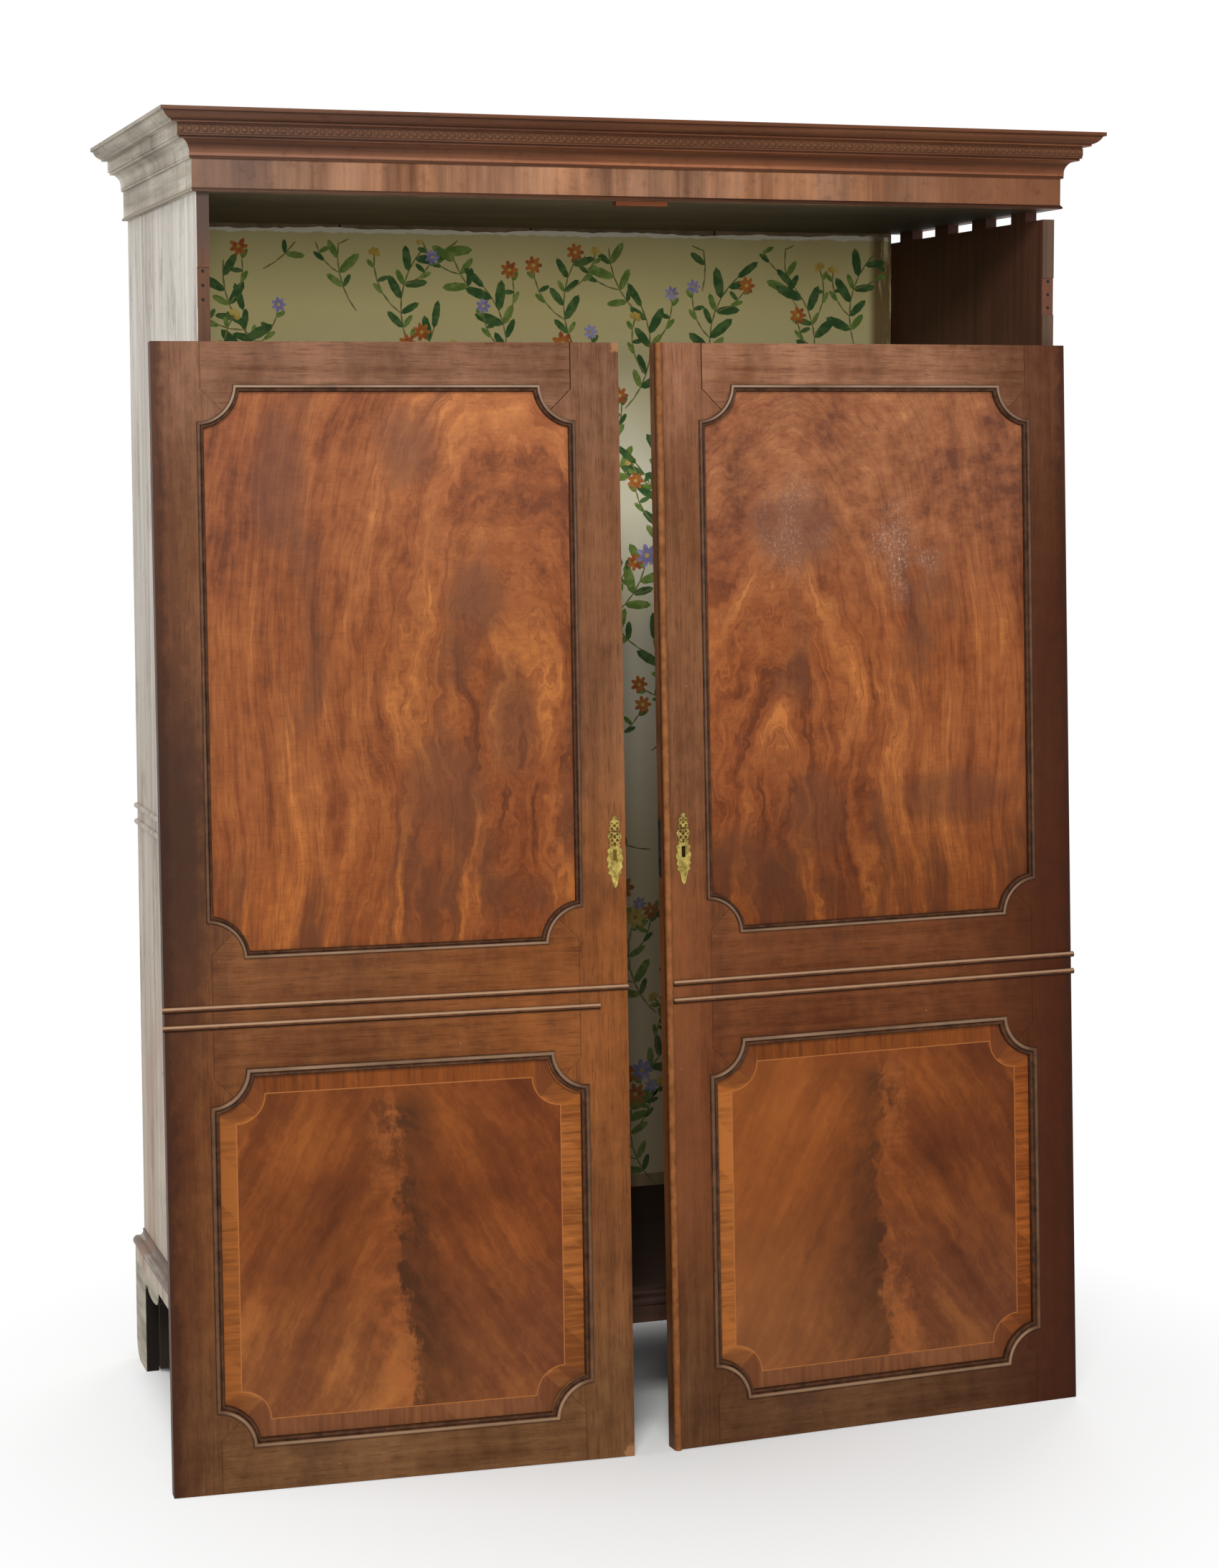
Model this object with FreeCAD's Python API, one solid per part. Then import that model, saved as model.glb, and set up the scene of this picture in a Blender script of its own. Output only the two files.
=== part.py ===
import FreeCAD, Part
import math
import os

# A mahogany linen press used for hanging clothes: an open carcass on bracket feet, a lift-off
# cornice, and two tall doors that are off their hinges and lean on the carcass front.
# Millimetres. While building: x = 0 is the middle of the carcass, y = 0 its front, z = 0 the floor,
# and the doors are built on the left, hinge edge at x = 0, front face at y = 0, foot at z = 0.

# Carcass
carcass_width = 1434.0
carcass_depth = 618.0
overall_height = 2100.0
cornice_height = 121.0
side_thickness = 20.0
bottom_board_thickness = 25.0
back_board_thickness = 10.0
back_board_count = 4
lining_thickness = 1.0
lining_rise = 23.0
lining_drop = 3.0
pin_count = 4
pin_width = 54.0
front_socket = 64.0
rear_socket = 50.0
socket_depth = 17.0

# Base
foot_height = 175.0
rail_height = 30.0
rail_width = 40.0
rail_proud = 16.0
bracket_thickness = 22.0
leg_width = 95.0
bracket_drop = 24.0
scallop_width = 16.0
spur_depth = 29.0
spur_length = 84.0
spur_end = 12.0
rear_round = 40.0
rear_brace_length = 120.0
foot_block_size = 50.0
foot_block_lift = 8.0
base_moulding_height = 23.0
base_moulding_proud = 20.0

# Cornice
frieze_proud = 7.0
frieze_thickness = 20.0
frieze_visible = 49.0
frieze_bead_height = 6.0
frieze_bead_proud = 3.0
soffit_thickness = 16.0
crown_projection = 55.0
crown_overlap = 9.0
crown_bead_height = 4.4
crown_bead_proud = 4.0
cove_height = 19.0
cove_reach = 15.5
crown_band = 26.0
crown_fillet = 3.0
crown_shelf = 37.0
fascia_height = 6.0
fascia_step = 4.0
bead_row_radius = 6.5
bead_row_height = 41.0
stop_block_length = 86.0
stop_block_width = 18.0
stop_block_height = 7.0

# Doors
door_lap = 13.0
door_rise = 6.0
door_thickness = 25.0
meeting_gap = 2.0
hung_gap = 2.0
hinge_margin = 67.0
meeting_margin = 71.0
bottom_margin = 74.0
lower_panel_height = 571.0
middle_margin = 174.0
top_margin = 65.0
indent_radius = 56.0
moulding_width = 15.0
moulding_lap = 7.0
moulding_proud = 5.0
panel_recess = 5.0
panel_thickness = 10.0
panel_tongue = 8.0
tenon_length = 50.0
tenon_thickness = 8.0
tenon_shoulder = 14.0
waist_bead_height = 9.0
waist_bead_proud = 6.0
waist_bead_rise = 73.0
waist_bead_pitch = 28.0
waist_bead_overhang = 3.0
broken_bead_length = 46.0
meeting_bead_width = 11.0
meeting_bead_depth = 8.0

# Lock and escutcheons
lock_rise = 140.0
lock_case_height = 90.0
lock_case_width = 60.0
lock_case_thickness = 13.0
bolt_height = 28.0
bolt_length = 42.0
bolt_thickness = 7.0
bolt_rise = 2.0
keyhole_setback = 32.0
blank_setback = 18.0
keyhole_radius = 3.0
keyhole_drop = 11.0
escutcheon_thickness = 2.0
escutcheon_half_width = 13.5
escutcheon_top = 57.0
escutcheon_tail = 57.0
lattice_rows = 4
lattice_pitch = 9.0
lattice_hole = 2.8

# Hinges
hinge_inset = 149.0
hinge_length = 60.0
leaf_width = 17.0
leaf_thickness = 2.0
knuckle_radius = 4.0
pin_radius = 2.0
pin_edge_cover = 0.2

# How the doors stand: hinge edge past the carcass side, foot in front of it, turn of the free edge
left_overhang = 81.0
left_foot = 102.0
left_turn_angle = 3.0
right_overhang = 10.0
right_foot = 100.0
right_turn_angle = 2.9

# Clearances
rest_gap = 0.6
fit_gap = 0.3
pin_gap = 0.05
cut_past = 1.0

half_width = carcass_width / 2
side_top = overall_height - cornice_height
carcass_bottom = foot_height + rail_height
floor_top = carcass_bottom + bottom_board_thickness
hung_foot = carcass_bottom + base_moulding_height + hung_gap
inner_half = half_width - side_thickness

# A closed door laps the carcass side, and its top rises past the top of the sides
door_width = half_width + door_lap - meeting_gap / 2
door_height = side_top + door_rise - hung_foot
lower_panel_bottom = bottom_margin
lower_panel_top = lower_panel_bottom + lower_panel_height
upper_panel_bottom = lower_panel_top + middle_margin
upper_panel_top = door_height - top_margin
waist_bead_lower = lower_panel_top + waist_bead_rise
waist_bead_upper = waist_bead_lower + waist_bead_pitch
lock_height = upper_panel_bottom + lock_rise
hinge_heights = (hinge_inset, door_height / 2, door_height - hinge_inset)


def vec(x, y, z):
    return FreeCAD.Vector(x, y, z)


def box(x0, x1, y0, y1, z0, z1):
    return Part.makeBox(x1 - x0, y1 - y0, z1 - z0, vec(x0, y0, z0))


def outline(at, start, *steps):
    """A flat face from lines and arcs: a step is a point, or a pair (through, to) for an arc."""
    edges = []
    here = start
    for step in steps + (start,):
        arc = isinstance(step[0], tuple)
        there = step[1] if arc else step
        if arc:
            edges.append(Part.Arc(at(*here), at(*step[0]), at(*there)).toShape())
        elif here != there:
            edges.append(Part.makeLine(at(*here), at(*there)))
        here = there
    return Part.Face(Part.Wire(edges))


def upright(points, z0, z1):
    """A prism on a floor plan of (x, y) points."""
    return outline(lambda x, y: vec(x, y, z0), *points).extrude(vec(0, 0, z1 - z0))


def plate(points, y0, y1):
    """A prism on a front view of (x, z) points or arcs, from depth y0 to y1."""
    return outline(lambda x, z: vec(x, y0, z), *points).extrude(vec(0, y1 - y0, 0))


def rod(centre, axis, radius, length):
    return Part.makeCylinder(radius, length, centre, axis)


def group(shapes):
    return shapes[0] if len(shapes) == 1 else Part.makeCompound(shapes)


def across(shape, x=0.0):
    """The same piece on the other hand, mirrored in the upright plane at x."""
    return shape.mirror(vec(x, 0, 0), vec(1, 0, 0))


def mitred_lengths(profile, reach_in, reach_out, z0, z1):
    """Front, left and right lengths of one profile round the carcass, mitred at the front corners.

    The profile is a list of (offset, z) steps; the offset is measured outwards from the carcass face.
    """
    corner_in = (-half_width + reach_in, reach_in)
    corner_out = (-half_width - reach_out, -reach_out)
    front_face = outline(lambda o, z: vec(corner_out[0], -o, z), *profile)
    front = front_face.extrude(vec(-2 * corner_out[0], 0, 0))
    front_plan = (corner_in, corner_out, (-corner_out[0], corner_out[1]), (-corner_in[0], corner_in[1]))
    left_face = outline(lambda o, z: vec(-half_width - o, corner_out[1], z), *profile)
    left = left_face.extrude(vec(0, carcass_depth - corner_out[1], 0))
    back = carcass_depth
    left_plan = (corner_in, corner_out, (corner_out[0], back), (corner_in[0], back))
    front = front.common(upright(front_plan, z0, z1))
    left = left.common(upright(left_plan, z0, z1))
    return front, left, across(left)


def bead_section(at, middle, height, proud):
    """The D-shaped section of a half-round bead: (proud of the face, height)."""
    low = (0.0, middle - height / 2)
    high = (0.0, middle + height / 2)
    return outline(at, low, ((proud, middle), high))


# Carcass pieces

def left_side():
    """The plain side board, with empty recesses for the hinges in its front edge."""
    board = box(-half_width, -inner_half, 0, carcass_depth, carcass_bottom, side_top)
    for height in hinge_heights:
        low = hung_foot + height - hinge_length / 2 - fit_gap
        high = hung_foot + height + hinge_length / 2 + fit_gap
        recess = box(-half_width - cut_past, -inner_half + cut_past, -cut_past, leaf_thickness, low, high)
        board = board.cut(recess)
    return board


def right_side():
    """The mirrored side board: pins of the old top's joint along its top edge, empty sockets between."""
    board = across(left_side())
    pitch = (carcass_depth - front_socket - pin_width - rear_socket) / (pin_count - 1)
    start = -cut_past
    for end in [front_socket + index * pitch for index in range(pin_count)] + [carcass_depth + cut_past]:
        socket = box(inner_half - cut_past, half_width + cut_past, start, end,
                     side_top - socket_depth, side_top + cut_past)
        board = board.cut(socket)
        start = end + pin_width
    return board


def back_boards():
    board_width = 2 * inner_half / back_board_count
    front = carcass_depth - back_board_thickness
    boards = []
    for index in range(back_board_count):
        x = -inner_half + index * board_width
        right = x + board_width - fit_gap * (index < back_board_count - 1)
        boards.append(box(x, right, front, carcass_depth, floor_top, side_top))
    return group(boards)


def back_lining():
    back = carcass_depth - back_board_thickness
    reach = inner_half - fit_gap
    low = floor_top + lining_rise
    high = side_top - lining_drop
    return box(-reach, reach, back - lining_thickness, back, low, high)


def base_rails():
    inner = rail_proud - rail_width
    section = ((inner, foot_height), (rail_proud, foot_height),
               (rail_proud, carcass_bottom), (inner, carcass_bottom))
    return mitred_lengths(section, -inner, rail_proud, foot_height, carcass_bottom)


def base_back_rail():
    reach = half_width + rail_proud - rail_width
    return box(-reach, reach, carcass_depth - rail_width, carcass_depth, foot_height, carcass_bottom)


def base_moulding():
    """An ogee on the base frame, with a fillet below and above."""
    z0 = carcass_bottom
    z1 = carcass_bottom + base_moulding_height
    fillet = base_moulding_height / 5
    nose = base_moulding_proud
    bend = (nose / 2, (z0 + z1) / 2)
    neck = nose / 8
    section = ((0, z0), (nose, z0), (nose, z0 + fillet),
               ((nose - neck, bend[1] - fillet / 2), bend),
               ((neck * 1.6, bend[1] + fillet / 2), (neck, z1 - fillet / 2)), (neck, z1), (0, z1))
    return mitred_lengths(section, 0, nose, z0, z1)


def bracket_steps(rounded):
    """Front view of a bracket from its corner: leg, two scallops, pendant lobe, rise to the rail."""
    leg = leg_width
    notch = bracket_drop
    leg_height = foot_height - notch
    first = leg + scallop_width
    second = first + scallop_width
    tip = second + spur_length
    end = tip + spur_end
    lobe = foot_height - spur_depth
    heel = ((rear_round, 0),) if rounded else ((0, 0),)
    toe = (((rear_round * 0.29, rear_round * 0.29), (rear_round, 0)),) if rounded else ()
    rise = ((0, rear_round),) if rounded else ()
    return heel + ((leg, 0), (leg, leg_height),
                   ((leg + scallop_width / 2, leg_height + notch / 5), (first, leg_height)),
                   ((first + scallop_width / 2, leg_height + notch / 3), (second, leg_height)),
                   ((second + spur_length * 0.6, lobe), (tip, leg_height)),
                   ((tip + spur_end * 0.8, leg_height + notch / 3), (end, foot_height)),
                   (0, foot_height)) + rise + toe


def bracket(rounded):
    """A bracket along +x from its corner at x = 0, with its face at y = 0."""
    return plate(bracket_steps(rounded), 0, bracket_thickness)


def bracket_length():
    return leg_width + 2 * scallop_width + spur_length + spur_end


def front_left_foot():
    """Two brackets mitred at the corner."""
    x = -half_width - rail_proud
    y = -rail_proud
    thick = bracket_thickness
    far = bracket_length() + cut_past
    mitre = upright(((0, 0), (thick, thick), (far, thick), (far, 0)), 0, foot_height)
    front = bracket(False).common(mitre)
    side = front.mirror(vec(0, 0, 0), vec(1, -1, 0))
    return [piece.translated(vec(x, y, 0)) for piece in (front, side)]


def rear_left_foot():
    """A side bracket with its back corner rounded, and a plain brace set in behind it."""
    x = -half_width - rail_proud
    side = bracket(True).mirror(vec(0, 0, 0), vec(1, -1, 0)).mirror(vec(0, 0, 0), vec(0, 1, 0))
    side = side.translated(vec(x, carcass_depth, 0))
    start = x + bracket_thickness
    y1 = carcass_depth - rear_round
    plan = ((start, 0), (start + foot_block_size, 0),
            (start + rear_brace_length, foot_height), (start, foot_height))
    return [side, plate(plan, y1 - bracket_thickness, y1)]


def foot_blocks():
    x0 = -half_width - rail_proud + bracket_thickness
    x1 = x0 + foot_block_size
    front = -rail_proud + bracket_thickness
    rear = carcass_depth - rear_round - bracket_thickness - foot_block_size
    blocks = []
    for y in (front, rear):
        block = box(x0, x1, y, y + foot_block_size, foot_block_lift, foot_height)
        blocks += [block, across(block)]
    return group(blocks)


def side_waist_beads():
    beads = []
    for height in (waist_bead_lower, waist_bead_upper):
        middle = hung_foot + height
        at = lambda o, z: vec(-half_width - o, 0, z)
        section = bead_section(at, middle, waist_bead_height, waist_bead_proud)
        bead = section.extrude(vec(0, carcass_depth, 0))
        beads += [bead, across(bead)]
    return group(beads)


# Cornice pieces

crown_low = side_top + frieze_visible
frieze_top = overall_height - crown_overlap
frieze_inner = frieze_proud - frieze_thickness


def frieze_boards():
    section = ((frieze_inner, side_top), (frieze_proud, side_top),
               (frieze_proud, frieze_top), (frieze_inner, frieze_top))
    return mitred_lengths(section, -frieze_inner, frieze_proud, side_top, frieze_top)


def frieze_bead():
    """A narrow fillet round the foot of the frieze, weathered on top."""
    face = frieze_proud
    high = side_top + frieze_bead_height
    edge = face + frieze_bead_proud
    section = ((face, side_top), (edge, side_top), (edge, high - frieze_bead_proud), (face, high))
    return group(mitred_lengths(section, 0, face + frieze_bead_proud, side_top, high))


def crown_lengths():
    """Bead, cove, band for the bead row, fillet, and an ovolo under a narrow fascia."""
    face = frieze_proud
    out = face + crown_projection
    band = face + crown_band
    shelf = face + crown_shelf
    bead = face + crown_bead_proud
    bead_top = crown_low + crown_bead_height
    cove_low = bead_top + crown_bead_height
    cove_high = cove_low + cove_height
    cove = face + cove_reach
    row_low = crown_low + bead_row_height - bead_row_radius - crown_fillet
    row_high = crown_low + bead_row_height + bead_row_radius + crown_fillet
    fascia_low = overall_height - fascia_height
    fascia = out - fascia_step
    ovolo_low = row_high + crown_fillet
    section = ((face, crown_low), ((bead, (crown_low + bead_top) / 2), (face + crown_fillet, bead_top)),
               (bead, bead_top), (bead, cove_low),
               ((bead + (cove - bead) / 3, cove_low + cove_height * 0.65), (cove, cove_high)),
               (band - crown_fillet, cove_high), (band - crown_fillet, row_low),
               (band, row_low), (band, row_high),
               (shelf, row_high), (shelf, ovolo_low),
               ((shelf + (fascia - shelf) * 0.65, ovolo_low * 0.6 + fascia_low * 0.4), (fascia, fascia_low)),
               (out, fascia_low), (out, overall_height), (frieze_inner, overall_height),
               (frieze_inner, frieze_top), (face, frieze_top))
    return mitred_lengths(section, -frieze_inner, out, crown_low, overall_height)


def crown_bead_row():
    """A half-round strip on the band of the front crown."""
    z = crown_low + bead_row_height
    band = frieze_proud + crown_band
    end = half_width + band
    section = bead_section(lambda o, h: vec(-end, -band - o, h), z, 2 * bead_row_radius, bead_row_radius)
    return section.extrude(vec(2 * end, 0, 0))


def cornice_back_rail():
    reach = half_width + frieze_inner
    return box(-reach, reach, carcass_depth - frieze_thickness, carcass_depth, side_top, frieze_top)


def cornice_soffit():
    reach = half_width + frieze_inner
    back = carcass_depth - frieze_thickness
    return box(-reach, reach, -frieze_inner, back, side_top, side_top + soffit_thickness)


def stop_block():
    half = stop_block_length / 2
    front = -frieze_inner + fit_gap
    return box(-half, half, front, front + stop_block_width, side_top - stop_block_height, side_top)


# Door pieces, built as the left door

panel_left = hinge_margin
panel_right = door_width - meeting_margin
panels = {"lower": (lower_panel_bottom, lower_panel_top), "upper": (upper_panel_bottom, upper_panel_top)}


def opening_steps(v0, v1):
    """The panel opening: a rectangle with a quarter circle turned inwards at each corner."""
    lap = moulding_lap
    radius = indent_radius + lap
    reach = math.sqrt(radius ** 2 - lap ** 2)
    middle = radius * math.sqrt(0.5)
    left, right, low, high = panel_left, panel_right, v0, v1
    return ((left + reach, low + lap), (right - reach, low + lap),
            ((right - middle, low + middle), (right - lap, low + reach)), (right - lap, high - reach),
            ((right - middle, high - middle), (right - reach, high - lap)), (left + reach, high - lap),
            ((left + middle, high - middle), (left + lap, high - reach)), (left + lap, low + reach),
            ((left + middle, low + middle), (left + reach, low + lap)))


def panel_box(v0, v1, margin, n0, n1):
    """A board over one opening, larger than it by the margin all round."""
    grow = margin - moulding_lap
    return box(panel_left - grow, panel_right + grow, n0, n1, v0 - grow, v1 + grow)


def stile_region(margin):
    """All of a stile at the left edge: the upright and half of each indented corner."""
    edge = margin + moulding_lap
    steps = [(0, 0), (edge, 0)]
    for v0, v1 in panels.values():
        low = v0 + moulding_lap
        high = v1 - moulding_lap
        turn = indent_radius + moulding_lap
        steps += [(edge, low), (edge + turn, low + turn), (edge + turn, high - turn), (edge, high)]
    steps += [(edge, door_height), (0, door_height)]
    return plate(steps, -cut_past, door_thickness + cut_past)


def rail_spans():
    lap = moulding_lap
    return {"bottom_rail": (0, lower_panel_bottom + lap),
            "middle_rail": (lower_panel_top - lap, upper_panel_bottom + lap),
            "top_rail": (upper_panel_top - lap, door_height)}


def tenon(span, edge, direction):
    """A tenon in the middle of the thickness, reaching from a rail's end into the stile."""
    low = span[0] + tenon_shoulder
    high = span[1] - tenon_shoulder
    n0 = panel_recess + fit_gap
    far = edge + direction * tenon_length
    return box(min(edge, far), max(edge, far), n0, n0 + tenon_thickness, low, high)


def door_frame():
    """Stiles and rails with grooves for the panels, split at the joint lines and mitres."""
    board = box(0, door_width, 0, door_thickness, 0, door_height)
    groove_back = panel_recess + panel_thickness
    for v0, v1 in panels.values():
        board = board.cut(plate(opening_steps(v0, v1), -cut_past, panel_recess + cut_past))
        board = board.cut(panel_box(v0, v1, panel_tongue, panel_recess, groove_back))
        board = board.cut(panel_box(v0, v1, 0, groove_back - cut_past, door_thickness + cut_past))
    hinge_region = stile_region(hinge_margin)
    meeting_region = across(stile_region(meeting_margin), door_width / 2)
    hinge_stile = board.common(hinge_region)
    meeting_stile = board.common(meeting_region)
    rest = board.cut(hinge_region).cut(meeting_region)
    rails = sorted(rest.Solids, key=lambda solid: solid.CenterOfMass.z)
    pieces = {}
    for (name, span), rail in zip(rail_spans().items(), rails):
        left = tenon(span, panel_left + moulding_lap, -1)
        right = tenon(span, panel_right - moulding_lap, 1)
        pieces[name] = rail.fuse([left, right]).removeSplitter()
        hinge_stile = hinge_stile.cut(left)
        meeting_stile = meeting_stile.cut(right)
    pieces["hinge_stile"] = hinge_stile
    pieces["meeting_stile"] = meeting_stile
    return pieces


def panel_moulding(v0, v1):
    """Eight mitred lengths that lap the joint of frame and panel, falling from a bead to the panel."""
    wide = moulding_width
    lap = moulding_lap
    crest = wide / 4
    section = ((0, 0), (lap, 0), (lap, panel_recess), (wide, panel_recess),
               (wide - crest / 2, -moulding_proud / 2), (crest, -moulding_proud))
    left, right, low, high = panel_left, panel_right, v0, v1
    mid_u = (left + right) / 2
    mid_v = (low + high) / 2
    radius = indent_radius
    mitre = math.sqrt(radius ** 2 + 2 * radius * wide)
    flat = outline(lambda c, n: vec(left, n, low + c), *section).extrude(vec(right - left, 0, 0))
    ends = ((left + radius, low), (left + mitre, low + wide),
            (right - mitre, low + wide), (right - radius, low))
    flat = flat.common(plate(ends, -moulding_proud - cut_past, panel_recess + cut_past))
    tall = outline(lambda c, n: vec(left + c, n, low), *section).extrude(vec(0, 0, high - low))
    ends = ((left, low + radius), (left + wide, low + mitre),
            (left + wide, high - mitre), (left, high - radius))
    tall = tall.common(plate(ends, -moulding_proud - cut_past, panel_recess + cut_past))
    turn = outline(lambda c, n: vec(left + radius + c, n, low), *section)
    turn = turn.revolve(vec(left, 0, low), vec(0, 1, 0), -90)
    ends = ((left, low), (left + radius, low), (left + mitre, low + wide), (left + mitre, low + mitre),
            (left + wide, low + mitre), (left, low + radius))
    turn = turn.common(plate(ends, -moulding_proud - cut_past, panel_recess + cut_past))
    lengths = [flat, tall, turn, across(tall, mid_u), across(turn, mid_u)]
    upper = [piece.mirror(vec(0, 0, mid_v), vec(0, 0, 1)) for piece in (flat, turn, across(turn, mid_u))]
    return group(lengths + upper)


def door_bead(height, end):
    """A waist bead from just past the hinge edge."""
    start = -waist_bead_overhang
    section = bead_section(lambda o, v: vec(start, -o, v), height, waist_bead_height, waist_bead_proud)
    return section.extrude(vec(end - start, 0, 0))


def keyhole(setback, n0, n1):
    """A round hole with a slot below it, through the depths n0 to n1."""
    u = door_width - setback
    slot = keyhole_radius * 0.55
    hole = rod(vec(u, n0, lock_height), vec(0, 1, 0), keyhole_radius, n1 - n0)
    drop = box(u - slot, u + slot, n0, n1, lock_height - keyhole_drop, lock_height)
    return hole.fuse(drop).removeSplitter()


def escutcheon(setback):
    """A pierced brass plate: a lattice under a knop, spiked sides round the keyhole, a pointed tail."""
    u = door_width - setback
    v = lock_height
    half = escutcheon_half_width
    edge = ((0, 1), (0.25, 0.97), (0.25, 0.88), (0.55, 0.84), (0.6, 0.55), (0.86, 0.44), (0.6, 0.3),
            (0.68, 0.2), (0.54, 0.14), (0.93, 0.05), (0.78, -0.06), (1, -0.18), (0.96, -0.25), (0.78, -0.32),
            (0.93, -0.42), (0.66, -0.49), (0.84, -0.58), (0.55, -0.63), (0.37, -0.78), (0.26, -0.92), (0, -1))
    points = []
    for share, rise in edge:
        points.append((u + share * half, v + rise * (escutcheon_top if rise > 0 else escutcheon_tail)))
    right = plate(points, -escutcheon_thickness, 0)
    whole = right.fuse(across(right, u)).removeSplitter()
    for row in range(lattice_rows):
        count = 1 + row % 2
        z = v + keyhole_drop + row * lattice_pitch * 0.8
        for column in range(count):
            x = u + (column - (count - 1) / 2) * lattice_pitch * 0.8
            diamond = ((x, z - lattice_hole), (x + lattice_hole, z),
                       (x, z + lattice_hole), (x - lattice_hole, z))
            whole = whole.cut(plate(diamond, -escutcheon_thickness - cut_past, cut_past))
    return whole


# Hinges: a door leaf and a carcass leaf on one pin, behind the lapping edge of the door

pin_u = knuckle_radius + pin_edge_cover
pin_n = door_thickness + hung_gap / 2
leaf_end = door_lap + leaf_width


def on_pin(radius, z0, z1):
    """A cylinder about the pin's axis."""
    return rod(vec(pin_u, pin_n, z0), vec(0, 0, 1), radius, z1 - z0)


def knuckle_spans(height):
    """The heights of the lower, middle and upper knuckle."""
    low = height - hinge_length / 2
    third = hinge_length / 3
    high = low + 2 * third
    return [(low, low + third), (low + third + fit_gap, high - fit_gap), (high, high + third)]


def leaf(height, n0, spans):
    """A flat leaf at depth n0, with its knuckles rolled at the pin's axis."""
    low = height - hinge_length / 2
    start = pin_u + knuckle_radius + fit_gap
    body = box(start, leaf_end, n0, n0 + leaf_thickness, low, low + hinge_length)
    for z0, z1 in spans:
        tab = box(pin_u, start, n0, n0 + leaf_thickness, z0, z1)
        body = body.fuse([tab, on_pin(knuckle_radius, z0, z1)])
    return body.removeSplitter()


def door_leaf(height):
    low, middle, high = knuckle_spans(height)
    return leaf(height, door_thickness - leaf_thickness, (low, high))


def carcass_leaf(height):
    low, middle, high = knuckle_spans(height)
    bore = on_pin(pin_radius + pin_gap, low[1], high[0])
    return leaf(height, door_thickness + hung_gap, (middle,)).cut(bore)


def hinge_pin(height):
    """The pin where it shows as a bearing: between the door leaf's knuckles, which hold its ends."""
    low, middle, high = knuckle_spans(height)
    return on_pin(pin_radius, low[1], high[0])


def hinge_pocket(height):
    """What the door stile loses for one hinge: the leaf's recess and a square notch for the knuckles."""
    low = height - hinge_length / 2 - fit_gap
    high = height + hinge_length / 2 + fit_gap
    back = door_thickness + cut_past
    recess = box(pin_u, leaf_end + fit_gap, door_thickness - leaf_thickness, back, low, high)
    room = knuckle_radius + fit_gap
    notch = box(pin_u - room, pin_u + room, pin_n - room, back, low, high)
    return recess.fuse(notch).removeSplitter()


# Lock in the meeting stile of the right door

lock_back = door_thickness
lock_front = door_thickness - lock_case_thickness


def lock_case_box(gap):
    low = lock_height - lock_case_height / 2 - gap
    high = lock_height + lock_case_height / 2 + gap
    return box(door_width - lock_case_width - gap, door_width, lock_front - gap, lock_back, low, high)


def bolt_box(gap, start, end):
    n = (lock_front + lock_back) / 2
    half = bolt_thickness / 2 + gap
    low = lock_height + keyhole_radius + bolt_rise
    return box(start, end, n - half, n + half, low - gap, low + bolt_height + gap)


def lock_case():
    channel = bolt_box(fit_gap, door_width - bolt_length - fit_gap, door_width + cut_past)
    key_way = keyhole(keyhole_setback, lock_front - cut_past, (lock_front + lock_back) / 2)
    return lock_case_box(0).cut(channel).cut(key_way)


def bolt_mortise():
    """The slot in the left door's meeting edge that takes the bolt."""
    return bolt_box(fit_gap * 2, door_width - bolt_length / 3, door_width + cut_past)


def meeting_bead():
    """A rounded strip let into the front corner of the meeting edge."""
    left = door_width - meeting_bead_width
    right = door_width
    half = meeting_bead_width / 2
    back = meeting_bead_depth
    crown = back - half - meeting_bead_depth
    section = ((left, back), (left, crown + half),
               ((left + half, crown), (right, crown + half)), (right, back))
    return outline(lambda u, n: vec(u, n, 0), *section).extrude(vec(0, 0, door_height))


def door_pieces():
    """What both doors have, on the left hand."""
    pieces = door_frame()
    for height in hinge_heights:
        pieces["hinge_stile"] = pieces["hinge_stile"].cut(hinge_pocket(height))
    for name, (v0, v1) in panels.items():
        back = panel_recess + panel_thickness
        pieces[name + "_panel"] = panel_box(v0, v1, panel_tongue - fit_gap, panel_recess, back)
        pieces[name + "_moulding"] = panel_moulding(v0, v1)
    pieces["door_leaves"] = group([door_leaf(height) for height in hinge_heights])
    pieces["carcass_leaves"] = group([carcass_leaf(height) for height in hinge_heights])
    pieces["hinge_pins"] = group([hinge_pin(height) for height in hinge_heights])
    return pieces


def left_door():
    """The plain door: a blank escutcheon, and the lower waist bead broken short."""
    pieces = door_pieces()
    pieces["meeting_stile"] = pieces["meeting_stile"].cut(bolt_mortise())
    whole = door_bead(waist_bead_upper, door_width)
    broken = door_bead(waist_bead_lower, door_width - broken_bead_length)
    pieces["waist_beads"] = group([whole, broken])
    pieces["escutcheon"] = escutcheon(blank_setback)
    return pieces


def right_door():
    """The door with the lock and the meeting bead, still on the left hand and mirrored later."""
    pieces = door_pieces()
    edge = door_width - meeting_bead_width
    past = door_width + cut_past
    rebate = box(edge, past, -cut_past, meeting_bead_depth, -cut_past, door_height + cut_past)
    stile = pieces["meeting_stile"].cut(rebate).cut(lock_case_box(fit_gap))
    pieces["meeting_stile"] = stile.cut(keyhole(keyhole_setback, -cut_past, lock_front))
    beads = [door_bead(height, edge - fit_gap) for height in (waist_bead_lower, waist_bead_upper)]
    pieces["waist_beads"] = group(beads)
    hole = keyhole(keyhole_setback, -escutcheon_thickness - cut_past, cut_past)
    pieces["escutcheon"] = escutcheon(keyhole_setback).cut(hole)
    pieces["meeting_bead"] = meeting_bead()
    pieces["lock_case"] = lock_case()
    pieces["lock_bolt"] = bolt_box(0, door_width - bolt_length, door_width)
    return pieces


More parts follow.
